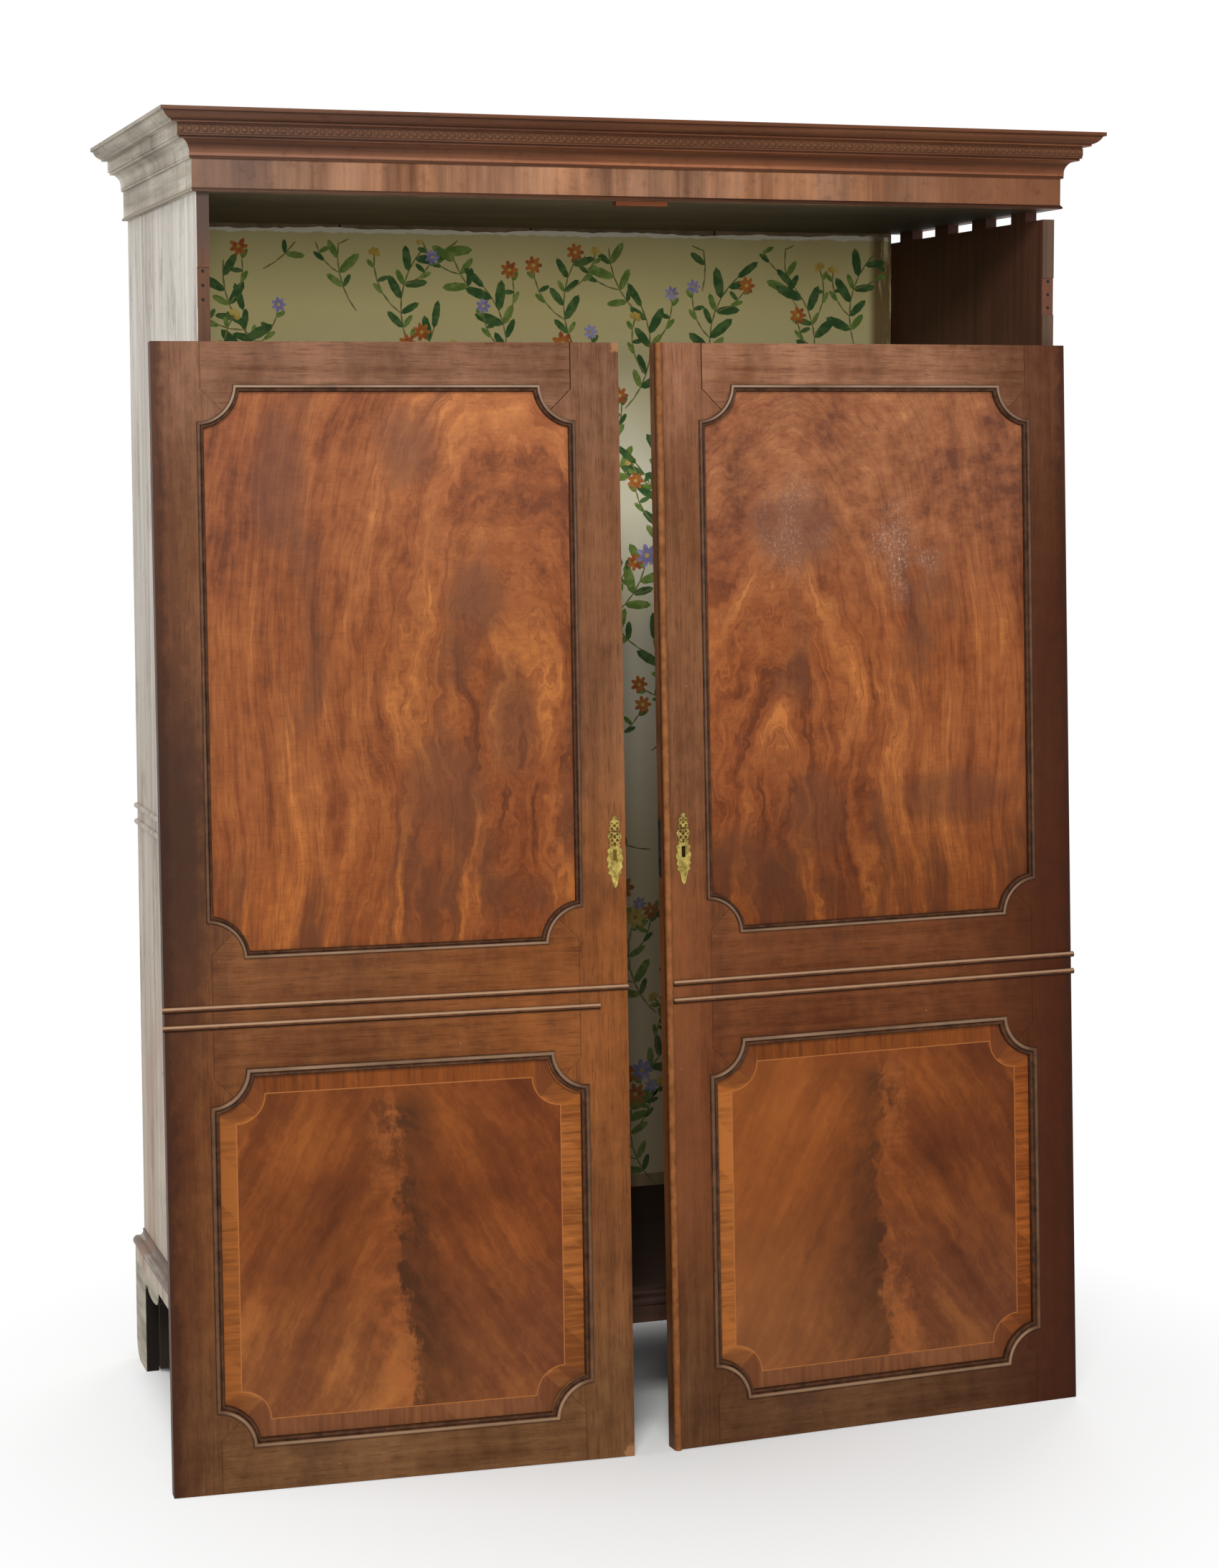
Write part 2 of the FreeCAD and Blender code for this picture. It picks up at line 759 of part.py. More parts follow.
def standing(overhang, foot, turn):
    """Where a leaning door stands: on its back bottom edge, its top back edge at the carcass front.

    The lean follows from the foot's distance, the turn of the free edge and the door's height.
    """
    x0 = -half_width - overhang
    angle = math.radians(-turn)
    reach = math.cos(angle) * (foot - rest_gap - math.tan(angle) * overhang)
    diagonal = math.hypot(door_height, door_thickness)
    lean = math.asin(reach / diagonal) - math.atan2(door_thickness, door_height)
    lift = door_thickness * math.sin(lean)
    tilt = FreeCAD.Rotation(vec(1, 0, 0), -math.degrees(lean))
    swing = FreeCAD.Rotation(vec(0, 0, 1), -turn)
    return FreeCAD.Placement(vec(x0, -foot, lift), swing.multiply(tilt))


def all_pieces():
    nodes = {"left_side": left_side(), "right_side": right_side(), "back_boards": back_boards()}
    nodes["bottom_board"] = box(-inner_half, inner_half, 0, carcass_depth, carcass_bottom, floor_top)
    nodes["back_lining"] = back_lining()
    for name, rail in zip(("front", "left", "right"), base_rails()):
        nodes["base_" + name + "_rail"] = rail
    nodes["base_back_rail"] = base_back_rail()
    nodes["base_moulding"] = group(base_moulding())
    for name, foot in (("front", front_left_foot()), ("rear", rear_left_foot())):
        nodes[name + "_left_foot"] = group(foot)
        nodes[name + "_right_foot"] = group([across(piece) for piece in foot])
    nodes["foot_blocks"] = foot_blocks()
    nodes["side_waist_beads"] = side_waist_beads()
    for name, board in zip(("front", "left", "right"), frieze_boards()):
        nodes["frieze_" + name] = board
    for name, length in zip(("front", "left", "right"), crown_lengths()):
        nodes["crown_" + name] = length
    nodes["frieze_bead"] = frieze_bead()
    nodes["crown_bead_row"] = crown_bead_row()
    nodes["cornice_back_rail"] = cornice_back_rail()
    nodes["cornice_soffit"] = cornice_soffit()
    nodes["stop_block"] = stop_block()
    place = standing(left_overhang, left_foot, left_turn_angle).toMatrix()
    for name, piece in left_door().items():
        nodes["left_" + name] = piece.transformed(place)
    place = standing(right_overhang, right_foot, right_turn_angle).toMatrix()
    for name, piece in right_door().items():
        nodes["right_" + name] = across(piece.transformed(place))
    return nodes


def main():
    """Write every piece, moved so that the origin is the middle of the footprint on the floor."""
    nodes = all_pieces()
    bounds = Part.makeCompound(list(nodes.values())).optimalBoundingBox(False, False)
    home = vec(-bounds.Center.x, -bounds.Center.y, 0)
    os.makedirs("parts", exist_ok=True)
    for name, shape in nodes.items():
        shape.translated(home).exportStep("parts/" + name + ".step")
    print(len(nodes), "pieces; moved by", home.x, home.y, "bottom", bounds.ZMin)
    print("size", bounds.XLength, bounds.YLength, bounds.ZLength)


main()
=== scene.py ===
# %% [markdown]
# # A linen press with its doors off
# The packed model is the frame: every board, bead and hinge is already where it belongs, in metres.
# This lesson gives the boards their finishes, remakes the few pieces whose fine shape matters, and
# sets up a camera and soft light. The frame is loaded first, because each new piece sits on it.

# %% Load the frame
import bpy
import bmesh
import math
import random
from mathutils import Matrix, Vector


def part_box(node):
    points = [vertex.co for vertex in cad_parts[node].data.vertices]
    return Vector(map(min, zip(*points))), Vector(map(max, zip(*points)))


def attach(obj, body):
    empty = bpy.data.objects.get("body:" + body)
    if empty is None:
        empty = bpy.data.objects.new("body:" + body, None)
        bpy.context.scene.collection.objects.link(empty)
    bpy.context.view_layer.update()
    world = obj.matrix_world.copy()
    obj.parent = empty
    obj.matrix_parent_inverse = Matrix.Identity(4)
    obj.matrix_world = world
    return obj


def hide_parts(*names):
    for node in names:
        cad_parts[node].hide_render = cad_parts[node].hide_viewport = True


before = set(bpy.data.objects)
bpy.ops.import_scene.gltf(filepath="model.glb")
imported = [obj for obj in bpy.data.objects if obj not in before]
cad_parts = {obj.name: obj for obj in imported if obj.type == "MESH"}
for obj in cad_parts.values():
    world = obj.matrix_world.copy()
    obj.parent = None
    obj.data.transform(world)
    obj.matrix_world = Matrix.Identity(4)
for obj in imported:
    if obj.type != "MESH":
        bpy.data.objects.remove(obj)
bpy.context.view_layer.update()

# %% [markdown]
# ## Two ways of measuring
# The carcass is easiest to measure from the middle of its front edge, and a door from its own lower
# left corner, seen from the front. A door leans and is turned a little, so its corner and its turn
# are worked out once here, and both the new pieces and the wood grain use them.

# %% Where the carcass and the doors stand
HOME = Vector((0.0102928, -0.2379515, 0.0))
HALF_WIDTH = 0.717
DEPTH = 0.618
DOOR_WIDTH = 0.729
DOOR_HEIGHT = 1.755
DOOR_THICKNESS = 0.025
REST_GAP = 0.0006


def standing(overhang, foot, turn):
    """The placing of a leaning left-hand door: on its back bottom edge, top edge at the carcass."""
    angle = math.radians(-turn)
    reach = math.cos(angle) * (foot - REST_GAP - math.tan(angle) * overhang)
    lean = math.asin(reach / math.hypot(DOOR_HEIGHT, DOOR_THICKNESS))
    lean -= math.atan2(DOOR_THICKNESS, DOOR_HEIGHT)
    corner = Vector((-HALF_WIDTH - overhang, -foot, DOOR_THICKNESS * math.sin(lean)))
    return Matrix.Translation(corner) @ Matrix.Rotation(angle, 4, "Z") @ Matrix.Rotation(-lean, 4, "X")


home = Matrix.Translation(HOME)
flip = Matrix.Scale(-1, 4, (1, 0, 0))
from_left = Matrix.Translation((DOOR_WIDTH, 0, 0)) @ flip
places = {
    "carcass": home,
    "left": home @ standing(overhang=0.081, foot=0.102, turn=3.0),
    "right": home @ flip @ standing(overhang=0.010, foot=0.100, turn=2.9) @ from_left,
}
for side in ("left", "right"):
    print(side, "door corner", [round(c, 4) for c in places[side].to_translation()])

# %% [markdown]
# ## The camera
# The lens, the place and the turn come from matching the corners of the carcass and the doors with
# the picture. The lens shift keeps the uprights as the picture frames them.

# %% Camera
IMAGE_WIDTH = 1698
IMAGE_HEIGHT = 2184
FOCAL_PIXELS = 4081.763
CENTRE = (748.105, 953.227)
YAW, PITCH, ROLL = 0.30212, -0.08312, -0.00504
CAMERA_PLACE = (-1.54644, -4.64910, 1.60316)
SENSOR = 36


def new_object(name, data):
    """A new object, linked to the scene."""
    made = bpy.data.objects.new(name, data)
    bpy.context.scene.collection.objects.link(made)
    return made


forward = Vector((math.sin(YAW) * math.cos(PITCH), math.cos(YAW) * math.cos(PITCH), math.sin(PITCH)))
level = Vector((math.cos(YAW), -math.sin(YAW), 0))
rise = level.cross(forward)
right = level * math.cos(ROLL) + rise * math.sin(ROLL)
up = rise * math.cos(ROLL) - level * math.sin(ROLL)
camera = new_object("camera", bpy.data.cameras.new("camera"))
camera.data.sensor_width = SENSOR
camera.data.lens = SENSOR * FOCAL_PIXELS / IMAGE_HEIGHT
camera.data.shift_x = (IMAGE_WIDTH / 2 - CENTRE[0]) / IMAGE_HEIGHT
camera.data.shift_y = (CENTRE[1] - IMAGE_HEIGHT / 2) / IMAGE_HEIGHT
turn = Matrix((right, up, -forward)).transposed().to_4x4()
camera.matrix_world = Matrix.Translation(CAMERA_PLACE) @ turn
bpy.context.scene.camera = camera
bpy.context.scene.view_settings.view_transform = "Standard"
print("lens", round(camera.data.lens, 2))

# %% [markdown]
# ## A small kit for finishes
# A finish is a chain of shader nodes. These helpers keep the chains readable: each adds one node and
# gives back its output as a value, and a sum or product of values adds a Math node, so a recipe is
# written like arithmetic. Colours are written as they look on a screen and turned into the linear
# values that Blender mixes.

# %% Colours and values
def shade(red, green, blue):
    """A screen colour, 0 to 255, as linear light."""
    parts = []
    for value in (red, green, blue):
        value /= 255
        parts.append(value / 12.92 if value <= 0.04045 else ((value + 0.055) / 1.055) ** 2.4)
    return tuple(parts)


class Value:
    """The output of a node. Arithmetic with it adds a Math node to its recipe."""

    def __init__(self, recipe, socket):
        self.recipe = recipe
        self.socket = socket

    def __add__(self, other):
        return self.recipe.calc("ADD", self, other)

    def __radd__(self, other):
        return self.recipe.calc("ADD", other, self)

    def __sub__(self, other):
        return self.recipe.calc("SUBTRACT", self, other)

    def __rsub__(self, other):
        return self.recipe.calc("SUBTRACT", other, self)

    def __mul__(self, other):
        return self.recipe.calc("MULTIPLY", self, other)

    def __truediv__(self, other):
        return self.recipe.calc("DIVIDE", self, other)

    def __pow__(self, other):
        return self.recipe.calc("POWER", self, other)

    def __abs__(self):
        return self.recipe.calc("ABSOLUTE", self)


print("a mid brown in linear light:", [round(part, 3) for part in shade(130, 88, 59)])

# %% Recipes
class Recipe:
    """One finish, or the world, written as a chain of nodes."""

    def __init__(self, name, kind="materials"):
        self.finish = getattr(bpy.data, kind).new(name)
        self.finish.use_nodes = True
        self.nodes = self.finish.node_tree.nodes
        self.links = self.finish.node_tree.links
        self.shader = self.nodes.get("Principled BSDF")

    def put(self, socket, value):
        if isinstance(value, Value):
            value = value.socket
        if isinstance(value, bpy.types.NodeSocket):
            self.links.new(value, socket)
        elif socket.type == "RGBA":
            socket.default_value = (*value, 1.0)
        else:
            socket.default_value = value

    def node(self, kind, values, **settings):
        made = self.nodes.new("ShaderNode" + kind)
        for key, setting in settings.items():
            setattr(made, key, setting)
        for key, value in values.items():
            self.put(made.inputs[key], value)
        return made

    def value(self, kind, values, output=0, **settings):
        return Value(self, self.node(kind, values, **settings).outputs[output])

    def calc(self, way, *values):
        return self.value("Math", dict(enumerate(values)), operation=way)

    def most(self, a, b):
        return self.calc("MAXIMUM", a, b)

    def least(self, a, b):
        return self.calc("MINIMUM", a, b)

    def far(self, a, b):
        """The length of a slant line from its two straight parts."""
        return self.calc("SQRT", a * a + b * b)

    def inside(self, value, low, high):
        """How far a value lies inside a range, negative outside."""
        return self.least(value - low, high - value)

    def span(self, value, low, high):
        """0 below low, 1 above high, smooth between. Low above high turns it round."""
        return self.value("MapRange", {0: value, 1: low, 2: high}, interpolation_type="SMOOTHSTEP")

    def mix(self, factor, low, high, way="MIX"):
        return self.value("Mix", {0: factor, 6: low, 7: high}, 2, data_type="RGBA", blend_type=way)

    def tint(self, colour, factors):
        return self.mix(1.0, colour, factors, "MULTIPLY")

    def at(self, x, y, z):
        return self.value("CombineXYZ", {0: x, 1: y, 2: z})

    def noise(self, where, detail=4.0, rough=0.55):
        values = {"Vector": where, "Scale": 1.0, "Detail": detail, "Roughness": rough}
        return self.value("TexNoise", values)

    def grain(self, x, y, z, detail=4.0, rough=0.55):
        """Noise squeezed by a factor on each axis: a low one draws it out along the grain."""
        squeezed = self.value("VectorMath", {0: self.point, 1: (x, y, z)}, operation="MULTIPLY")
        return self.noise(squeezed, detail, rough)

    def ramp(self, factor, *stops):
        made = self.node("ValToRGB", {0: factor})
        bands = made.color_ramp.elements
        while len(bands) < len(stops):
            bands.new(0.5)
        for band, (place, colour) in zip(bands, stops):
            band.position = place
            band.color = (*colour, 1.0)
        return Value(self, made.outputs[0])

    def measure(self, place):
        """Measure the surface in one of the places: keep the point, and give back its three parts."""
        where, turned, _ = places[place].decompose()
        coords = self.value("TexCoord", {}, "Object")
        values = {"Vector": coords, "Location": where, "Rotation": turned.to_euler()}
        self.point = self.value("Mapping", values, vector_type="TEXTURE")
        return [Value(self, part) for part in self.node("SeparateXYZ", {0: self.point}).outputs]

    def settle(self, colour, rough, height=None, depth=0.0004, metal=0.0, gloss=0.08):
        """Join the chain to the shader and give back the material."""
        self.put(self.shader.inputs["Base Color"], colour)
        self.put(self.shader.inputs["Roughness"], rough)
        self.shader.inputs["Metallic"].default_value = metal
        self.shader.inputs["Specular IOR Level"].default_value = gloss
        if height is not None:
            bump = self.node("Bump", {"Height": height, "Distance": depth, "Strength": 0.6})
            self.links.new(bump.outputs[0], self.shader.inputs["Normal"])
        print("finish", self.finish.name, "of", len(self.nodes), "nodes")
        return self.finish


def begin(name, place):
    """Begin a finish: its recipe, and the three measures of the surface in a place."""
    r = Recipe(name)
    return r, *r.measure(place)


PLAIN = (1.0, 1.0, 1.0)
print("steps of a recipe:", *(name for name in vars(Recipe) if not name.startswith("_")))

# %% [markdown]
# ## Floor and backdrop
# The press stands in plain studio light on a pale floor. The floor and the world are white to the
# camera and to reflections, and give only soft light to the wood, so the colours stay as written. Near
# the press the white thins out and lets the shadows show, and under the carcass it is left away.

# %% Floor and world
WORLD_LIGHT = 0.15
FLOOR_SIZE = 9
FLOOR_TONE = (0.86, 0.86, 0.85)
NEAR_FLOOR = (0.15, 0.15)
FAR_FLOOR = (1.25, 1.0)
WHITE_MIDDLE = 0.1
UNDER_EDGE = (-0.06, 0.04)


def sees_white(r):
    """1 for the camera's own rays and for rays off gloss and through glass."""
    path = r.node("LightPath", {}).outputs
    total = path["Is Camera Ray"]
    for name in ("Is Glossy Ray", "Is Transmission Ray"):
        total = r.most(total, path[name])
    return total


sky = Recipe("studio", "worlds")
bpy.context.scene.world = sky.finish
backdrop = sky.nodes["Background"].inputs
sky.put(backdrop["Color"], (1, 1, 1))
light = {"Value": sees_white(sky), "To Min": WORLD_LIGHT, "To Max": 1.0}
sky.put(backdrop["Strength"], sky.value("MapRange", light))

board = bmesh.new()
bmesh.ops.create_grid(board, x_segments=1, y_segments=1, size=FLOOR_SIZE)
floor = new_object("floor", bpy.data.meshes.new("floor"))
board.to_mesh(floor.data)
board.free()
paint = Recipe("floor_white")
paint.settle(FLOOR_TONE, 0.9, gloss=0.1)
x, y, _ = paint.measure("carcass")
away = paint.far(x, y - WHITE_MIDDLE)
(near, near_white), (far, far_white) = NEAR_FLOOR, FAR_FLOOR
white = paint.value("MapRange", {0: away, 1: near, 2: far, 3: near_white, 4: far_white})
under = paint.span(paint.inside(y, 0.0, DEPTH), *UNDER_EDGE)
under = under * paint.span(HALF_WIDTH - abs(x), *UNDER_EDGE)
veil = paint.node("MixShader", {0: white * (1.0 - under) * sees_white(paint)})
glow = paint.node("Emission", {})
paint.links.new(paint.shader.outputs[0], veil.inputs[1])
paint.links.new(glow.outputs[0], veil.inputs[2])
paint.links.new(veil.outputs[0], paint.nodes["Material Output"].inputs["Surface"])
floor.data.materials.append(paint.finish)

# %% [markdown]
# ## Lamps
# Five soft lamps light the press. A key lamp from high on the left and a weaker one in front model the
# doors, a fill and a side lamp open the shadows, and a rear lamp lights the back and the floor behind.

# %% Lamps
def lamp(name, where, target, size, power):
    light = bpy.data.lights.new(name, "AREA")
    light.size = size
    light.energy = power
    made = new_object(name, light)
    made.location = where
    aim = Vector(target) - Vector(where)
    made.rotation_euler = aim.to_track_quat("-Z", "Y").to_euler()


lamp("key", (-2.1, -4.8, 4.4), (0, 0, 1.1), 1.4, 225)
lamp("front", (-1.1, -5.2, 2.3), (0, 0, 1.4), 1.6, 88)
lamp("fill", (3.2, -4.2, 1.8), (0, 0, 0.9), 3.0, 16)
lamp("side", (-4.2, 0.2, 2.4), (-0.7, 0, 1.1), 2.2, 64)
lamp("rear", (2.9, 3.8, 4.6), (0.3, 0.3, 1.0), 3.0, 160)
print("five lamps and a white world")

# %% [markdown]
# ## Wood for the door frames
# Stiles and rails are straight-grained mahogany under an old polish. Long thin noise makes the grain:
# it is stretched along the board, upright on a stile and level on a rail. The joints have opened a
# little, so a dark line follows each shoulder and mitre; folding the door about its middle lets one
# line stand for all eight corners.

# %% Panels and joints
LOWER_PANEL = (0.074, 0.645)
UPPER_PANEL = (0.819, 1.690)
LAP = 0.007
HINGE_STILE, MEETING_STILE = 0.067, 0.071
EDGES = {"left": (HINGE_STILE, MEETING_STILE), "right": (MEETING_STILE, HINGE_STILE)}


def from_hinge(side, u):
    """The distance from the hinge edge of a door."""
    return u if side == "left" else DOOR_WIDTH - u


def joint_lines(r, side, u, v):
    """1 on the open joints of the frame, stronger at the top of the meeting stile."""
    left, right_edge = EDGES[side]
    across = r.inside(u, left + LAP, DOOR_WIDTH - right_edge - LAP)
    lower = r.inside(v, LOWER_PANEL[0] + LAP, LOWER_PANEL[1] - LAP)
    upper = r.inside(v, UPPER_PANEL[0] + LAP, UPPER_PANEL[1] - LAP)
    along = r.most(r.most(lower, upper), 0.0)
    off = abs(across - along)
    line = r.span(off, 0.0013, 0.0004) * r.span(along, 0.06, 0.055)
    meeting = r.span(u, 0.3, 0.5) if side == "left" else r.span(u, 0.5, 0.3)
    strong = meeting * r.span(v, 1.5, 1.6)
    return line * (0.4 + strong * 0.55)


print("panels reach over", LOWER_PANEL, "and", UPPER_PANEL, "m up a door")

# %% Tone and wear of a door
HINGE_EDGE = {"left": shade(68, 36, 20), "right": shade(60, 25, 9)}


def frame_tint(r, side, upright, u, v):
    """How the tone changes over a door: dim and warm at the foot, and paler and greyer at the top from a
    painted sheen.
    """
    left = side == "left"
    foot = (0.86, 0.74, 0.52) if left else (0.62, 0.50, 0.36)
    painted_sheen = (1.26, 1.42, 1.80) if left else (1.42, 1.46, 1.74)
    belt = (1.02, 0.93, 0.77) if left else (1.0, 0.80, 0.63)
    warm = r.mix(r.span(v, 0.1, 1.2), foot, (1.02, 0.99, 0.96))
    # A painted sheen makes the top of the door paler and greyer.
    warm = r.mix(r.span(v, 1.45, 1.72), warm, painted_sheen)
    if left:
        glow = r.span(u, 0.25, 0.62) * r.span(abs(v - 0.78), 0.45, 0.1)
        warm = r.mix(glow * 0.7, warm, (1.26, 1.0, 0.62))
    elif not upright:
        # A stronger painted sheen on the top rail of the right door.
        warm = r.mix(r.span(v, 1.62, 1.73), warm, (1.75, 1.95, 2.40))
    ember = r.mix(r.span(abs(v - 0.66), 0.45, 0.15), PLAIN, belt)
    ember = r.mix(r.span(v, 0.30, 0.06), ember, (1.0, 1.24, 1.55))
    return r.tint(warm, ember)


def frame_wear(r, side, colour, u, v, mottle):
    """Darker along the hinge edge, and the rubbed stretch or the chipped corners of the meeting edge."""
    outer = from_hinge(side, u)
    inner = DOOR_WIDTH - outer
    ragged = (mottle - 0.5) * 0.05
    edge = outer + ragged
    if side == "left":
        stain = r.span(edge, 0.11, 0.04) * r.span(abs(v - 0.98), 0.42, 0.05)
        share = 0.45 + r.span(v, 1.55, 1.35) * 0.25
        colour = r.mix(r.span(edge, 0.085, 0.01) * share, colour, HINGE_EDGE[side])
        colour = r.mix(stain * 0.85, colour, shade(54, 34, 24))
    else:
        edge_strength = 0.62 + r.span(v, 1.7, 1.3) * 0.33
        colour = r.mix(r.span(edge, 0.28, 0.0) * (edge_strength * 0.98), colour, HINGE_EDGE[side])
        rubbed = r.span(inner, 0.09, 0.02) * r.span(abs(v - 0.58), 0.36, 0.16)
        colour = r.mix(rubbed * 0.3, colour, shade(150, 92, 56))
    colour = r.mix(r.span(edge, 0.022, 0.004) * 0.6, colour, shade(46, 25, 15))
    if side == "left":
        top_chip = r.most(inner, DOOR_HEIGHT - v)
        foot_chip = r.most(inner, v * 0.8)
        chip = r.span(r.least(top_chip, foot_chip) + ragged, 0.016, 0.012)
        colour = r.mix(chip * 0.8, colour, shade(152, 108, 73))
    return colour


print("dirt on the hinge edge of", len(HINGE_EDGE), "doors")

# %% Door frame wood
def frame_wood(name, side, upright):
    r, u, _, v = begin(name, side)
    grain = (64, 40, 3.0) if upright else (3.0, 40, 64)
    pores = (380, 200, 24) if upright else (24, 200, 380)
    streak = r.grain(*grain, detail=6, rough=0.6)
    pore = r.grain(*pores, detail=2)
    drift = r.grain(5, 5, 2.6)
    mottle = r.grain(36, 36, 28, detail=5, rough=0.7)
    tone = streak * 0.36 + drift * 0.44 + mottle * 0.26
    colour = r.ramp(tone, (0.40, shade(81, 47, 26)), (0.66, shade(130, 88, 59)))
    colour = r.tint(colour, frame_tint(r, side, upright, u, v))
    smoke = r.grain(7, 7, 3, detail=5, rough=0.6)
    colour = r.mix(r.span(smoke, 0.52, 0.72) * 0.5, colour, shade(64, 42, 31))
    colour = r.mix(r.span(pore, 0.5, 0.72) * 0.42, colour, shade(46, 26, 15))
    spot = r.grain(150, 150, 150, detail=1)
    colour = r.mix(r.span(spot, 0.80, 0.825), colour, shade(174, 146, 117))
    colour = frame_wear(r, side, colour, u, v, mottle)
    colour = r.mix(joint_lines(r, side, u, v), colour, shade(16, 9, 6))
    return r.settle(colour, 0.36 + mottle * 0.24, streak * 0.5 - pore)


wood = {
    "left_stile": frame_wood("left_door_stile", "left", True),
    "left_rail": frame_wood("left_door_rail", "left", False),
    "right_stile": frame_wood("right_door_stile", "right", True),
    "right_rail": frame_wood("right_door_rail", "right", False),
}

# %% [markdown]
# ## Figured veneer in the upper panels
# The upper panels are one sheet of figured veneer each. The grain climbs straight on the hinge side and
# arches over towards the meeting side. A bent measure does this: up to a spring height it is the
# distance across from a centre, and above it the distance from that centre in a tall oval. The streaks
# are noise drawn out along this measure. A few smoky patches and two scuffs are laid over them.

# %% Patches on a panel
PANEL_WIDTH = DOOR_WIDTH - HINGE_STILE - MEETING_STILE
PANEL_MIDDLE = 0.010
SCUFFS = ((0.235, 1.47, 0.34), (0.432, 1.42, 0.56))
SMOKY = {
    "left": ((0.44, 1.07, 0.075, 0.09), (0.55, 1.17, 0.05, 0.10), (0.39, 1.60, 0.06, 0.07),
             (0.19, 1.55, 0.045, 0.12), (0.50, 1.36, 0.05, 0.06)),
    "right": ((0.24, 1.46, 0.085, 0.07), (0.15, 0.93, 0.09, 0.06), (0.27, 1.00, 0.06, 0.08),
              (0.52, 1.02, 0.12, 0.05)),
}


def in_oval(u, v, middle_u, middle_v, wide, tall):
    """0 in the middle of an oval and 1 on its rim, growing as the square of the distance."""
    across = (u - middle_u) / wide
    along = (v - middle_v) / tall
    return across * across + along * along


def scuffs(r, u, v, colour):
    """Two rubbed patches where the polish has gone white in fine scratches."""
    rub = r.grain(240, 1, 170, detail=6, rough=0.8)
    patch = r.grain(16, 1, 12)
    for middle_u, middle_v, strength in SCUFFS:
        near = r.span(in_oval(u, v, middle_u, middle_v, 0.075, 0.1), 1.1, 0.1)
        where = near * r.span(patch, 0.38, 0.58)
        colour = r.mix(where * (strength * 0.5), colour, shade(120, 88, 72))
        colour = r.mix(where * r.span(rub, 0.5, 0.64) * strength, colour, shade(200, 176, 158))
    return colour


def plain_back(r, n, colour):
    """The back of a panel is plain straight-grained wood, without the veneer."""
    streak = r.grain(50, 1, 2.4, detail=6, rough=0.6)
    board = r.ramp(streak, (0.34, shade(78, 47, 30)), (0.68, shade(122, 80, 53)))
    return r.mix(r.span(n, PANEL_MIDDLE - 0.001, PANEL_MIDDLE + 0.001), colour, board)


def smoky(r, side, u, v):
    """How far a point lies in one of the smoky patches of a panel, with feathered edges."""
    drift = (r.grain(14, 1, 9, detail=5, rough=0.65) - 0.5) * 1.6
    total = 0.0
    for patch in SMOKY[side]:
        total = r.most(total, r.span(in_oval(u, v, *patch) + drift, 1.3, 0.1))
    return total


for side, patches in SMOKY.items():
    print(side, "panel with", len(patches), "smoky patches")

# %% Upper panel veneer
ARCH = {"left": (0.50, 0.38), "right": (0.47, 0.24)}
ARCH_STRETCH = 0.45


def arch_measure(r, side, x, y):
    """The bent measure across the grain, and how near a point is to the heart of the arch."""
    centre, spring = ARCH[side]
    radius = r.far(x - centre, r.most(y - spring, 0.0) * ARCH_STRETCH)
    heart = r.span(radius, 0.36, 0.08)
    slow = r.grain(2.6, 1, 1.6, detail=2) - 0.5
    curl = r.grain(11, 1, 6.0, rough=0.6) - 0.5
    return centre - radius + slow * 0.14 + curl * (0.014 + heart * 0.13), heart


def upper_tint(r, side, x, y):
    """Darker and redder at the foot of the panel, and paler and greyer at its top from a painted sheen."""
    if side == "left":
        low, middle = (0.88, 0.76, 0.58), (0.98, 0.94, 0.84)
        high = r.mix(r.span(x, 0.08, 0.50), (1.0, 1.02, 1.14), (1.32, 1.42, 1.56))
    else:
        low, middle, high = (0.68, 0.56, 0.42), (1.08, 1.02, 0.94), (1.16, 1.38, 1.86)
    tint = r.mix(r.span(y, 0.04, 0.32), low, middle)
    # A painted sheen makes the top of the panel paler and greyer.
    return r.mix(r.span(y, 0.42, 0.76), tint, high)


def upper_veneer(name, side):
    r, u, n, v = begin(name, side)
    x = from_hinge(side, u) - HINGE_STILE
    y = v - UPPER_PANEL[0]
    bent, heart = arch_measure(r, side, x, y)
    broad = r.noise(r.at(bent * 14, 0.0, y * 2.6))
    streak = r.noise(r.at(bent * 62, 0.3, y * 5.0), detail=7, rough=0.66)
    fine = r.noise(r.at(bent * 300, 0.6, y * 24), detail=3, rough=0.6)
    cloud = r.grain(5.6, 1, 3.0, detail=5, rough=0.6)
    mottle = r.grain(26, 1, 34, detail=5, rough=0.7)
    hatch = r.grain(30, 1, 330, detail=3)
    figure = broad * 0.28 + streak * 0.32 + (cloud * 0.26 + mottle * 0.14)
    quiet = r.span(y, 0.5, 0.68) * (0.72 if side == "right" else 0.2)
    plain = cloud * 0.45 + (mottle * 0.35 + 0.1)
    tone = figure * (1.0 - quiet) + plain * quiet
    colour = r.ramp(tone, (0.415, shade(92, 49, 29)), (0.475, shade(127, 71, 39)),
                    (0.53, shade(145, 86, 48)), (0.605, shade(178, 112, 60)))
    colour = r.mix(r.span(fine, 0.46, 0.68) * 0.36, colour, shade(88, 47, 27))
    colour = r.mix(r.span(hatch, 0.5, 0.7) * 0.22, colour, shade(86, 49, 31))
    smoke = r.span(cloud, 0.48, 0.62) * r.span(broad, 0.58, 0.4) * (1.0 - quiet)
    colour = r.mix(smoke * 0.72, colour, shade(85, 54, 40))
    flame = heart * r.span(broad, 0.5, 0.62) * r.span(streak, 0.44, 0.58)
    colour = r.mix(flame * (0.12 if side == "left" else 0.22), colour, shade(185, 119, 63))
    colour = r.mix(smoky(r, side, u, v) * 0.55, colour, shade(92, 58, 42))
    colour = r.tint(colour, upper_tint(r, side, x, y))
    if side == "right":
        colour = scuffs(r, u, v, colour)
    colour = plain_back(r, n, colour)
    return r.settle(colour, 0.3 + cloud * 0.25, streak - fine * 0.4, 0.0002)


wood["left_upper_panel"] = upper_veneer("left_upper_veneer", "left")
wood["right_upper_panel"] = upper_veneer("right_upper_veneer", "right")

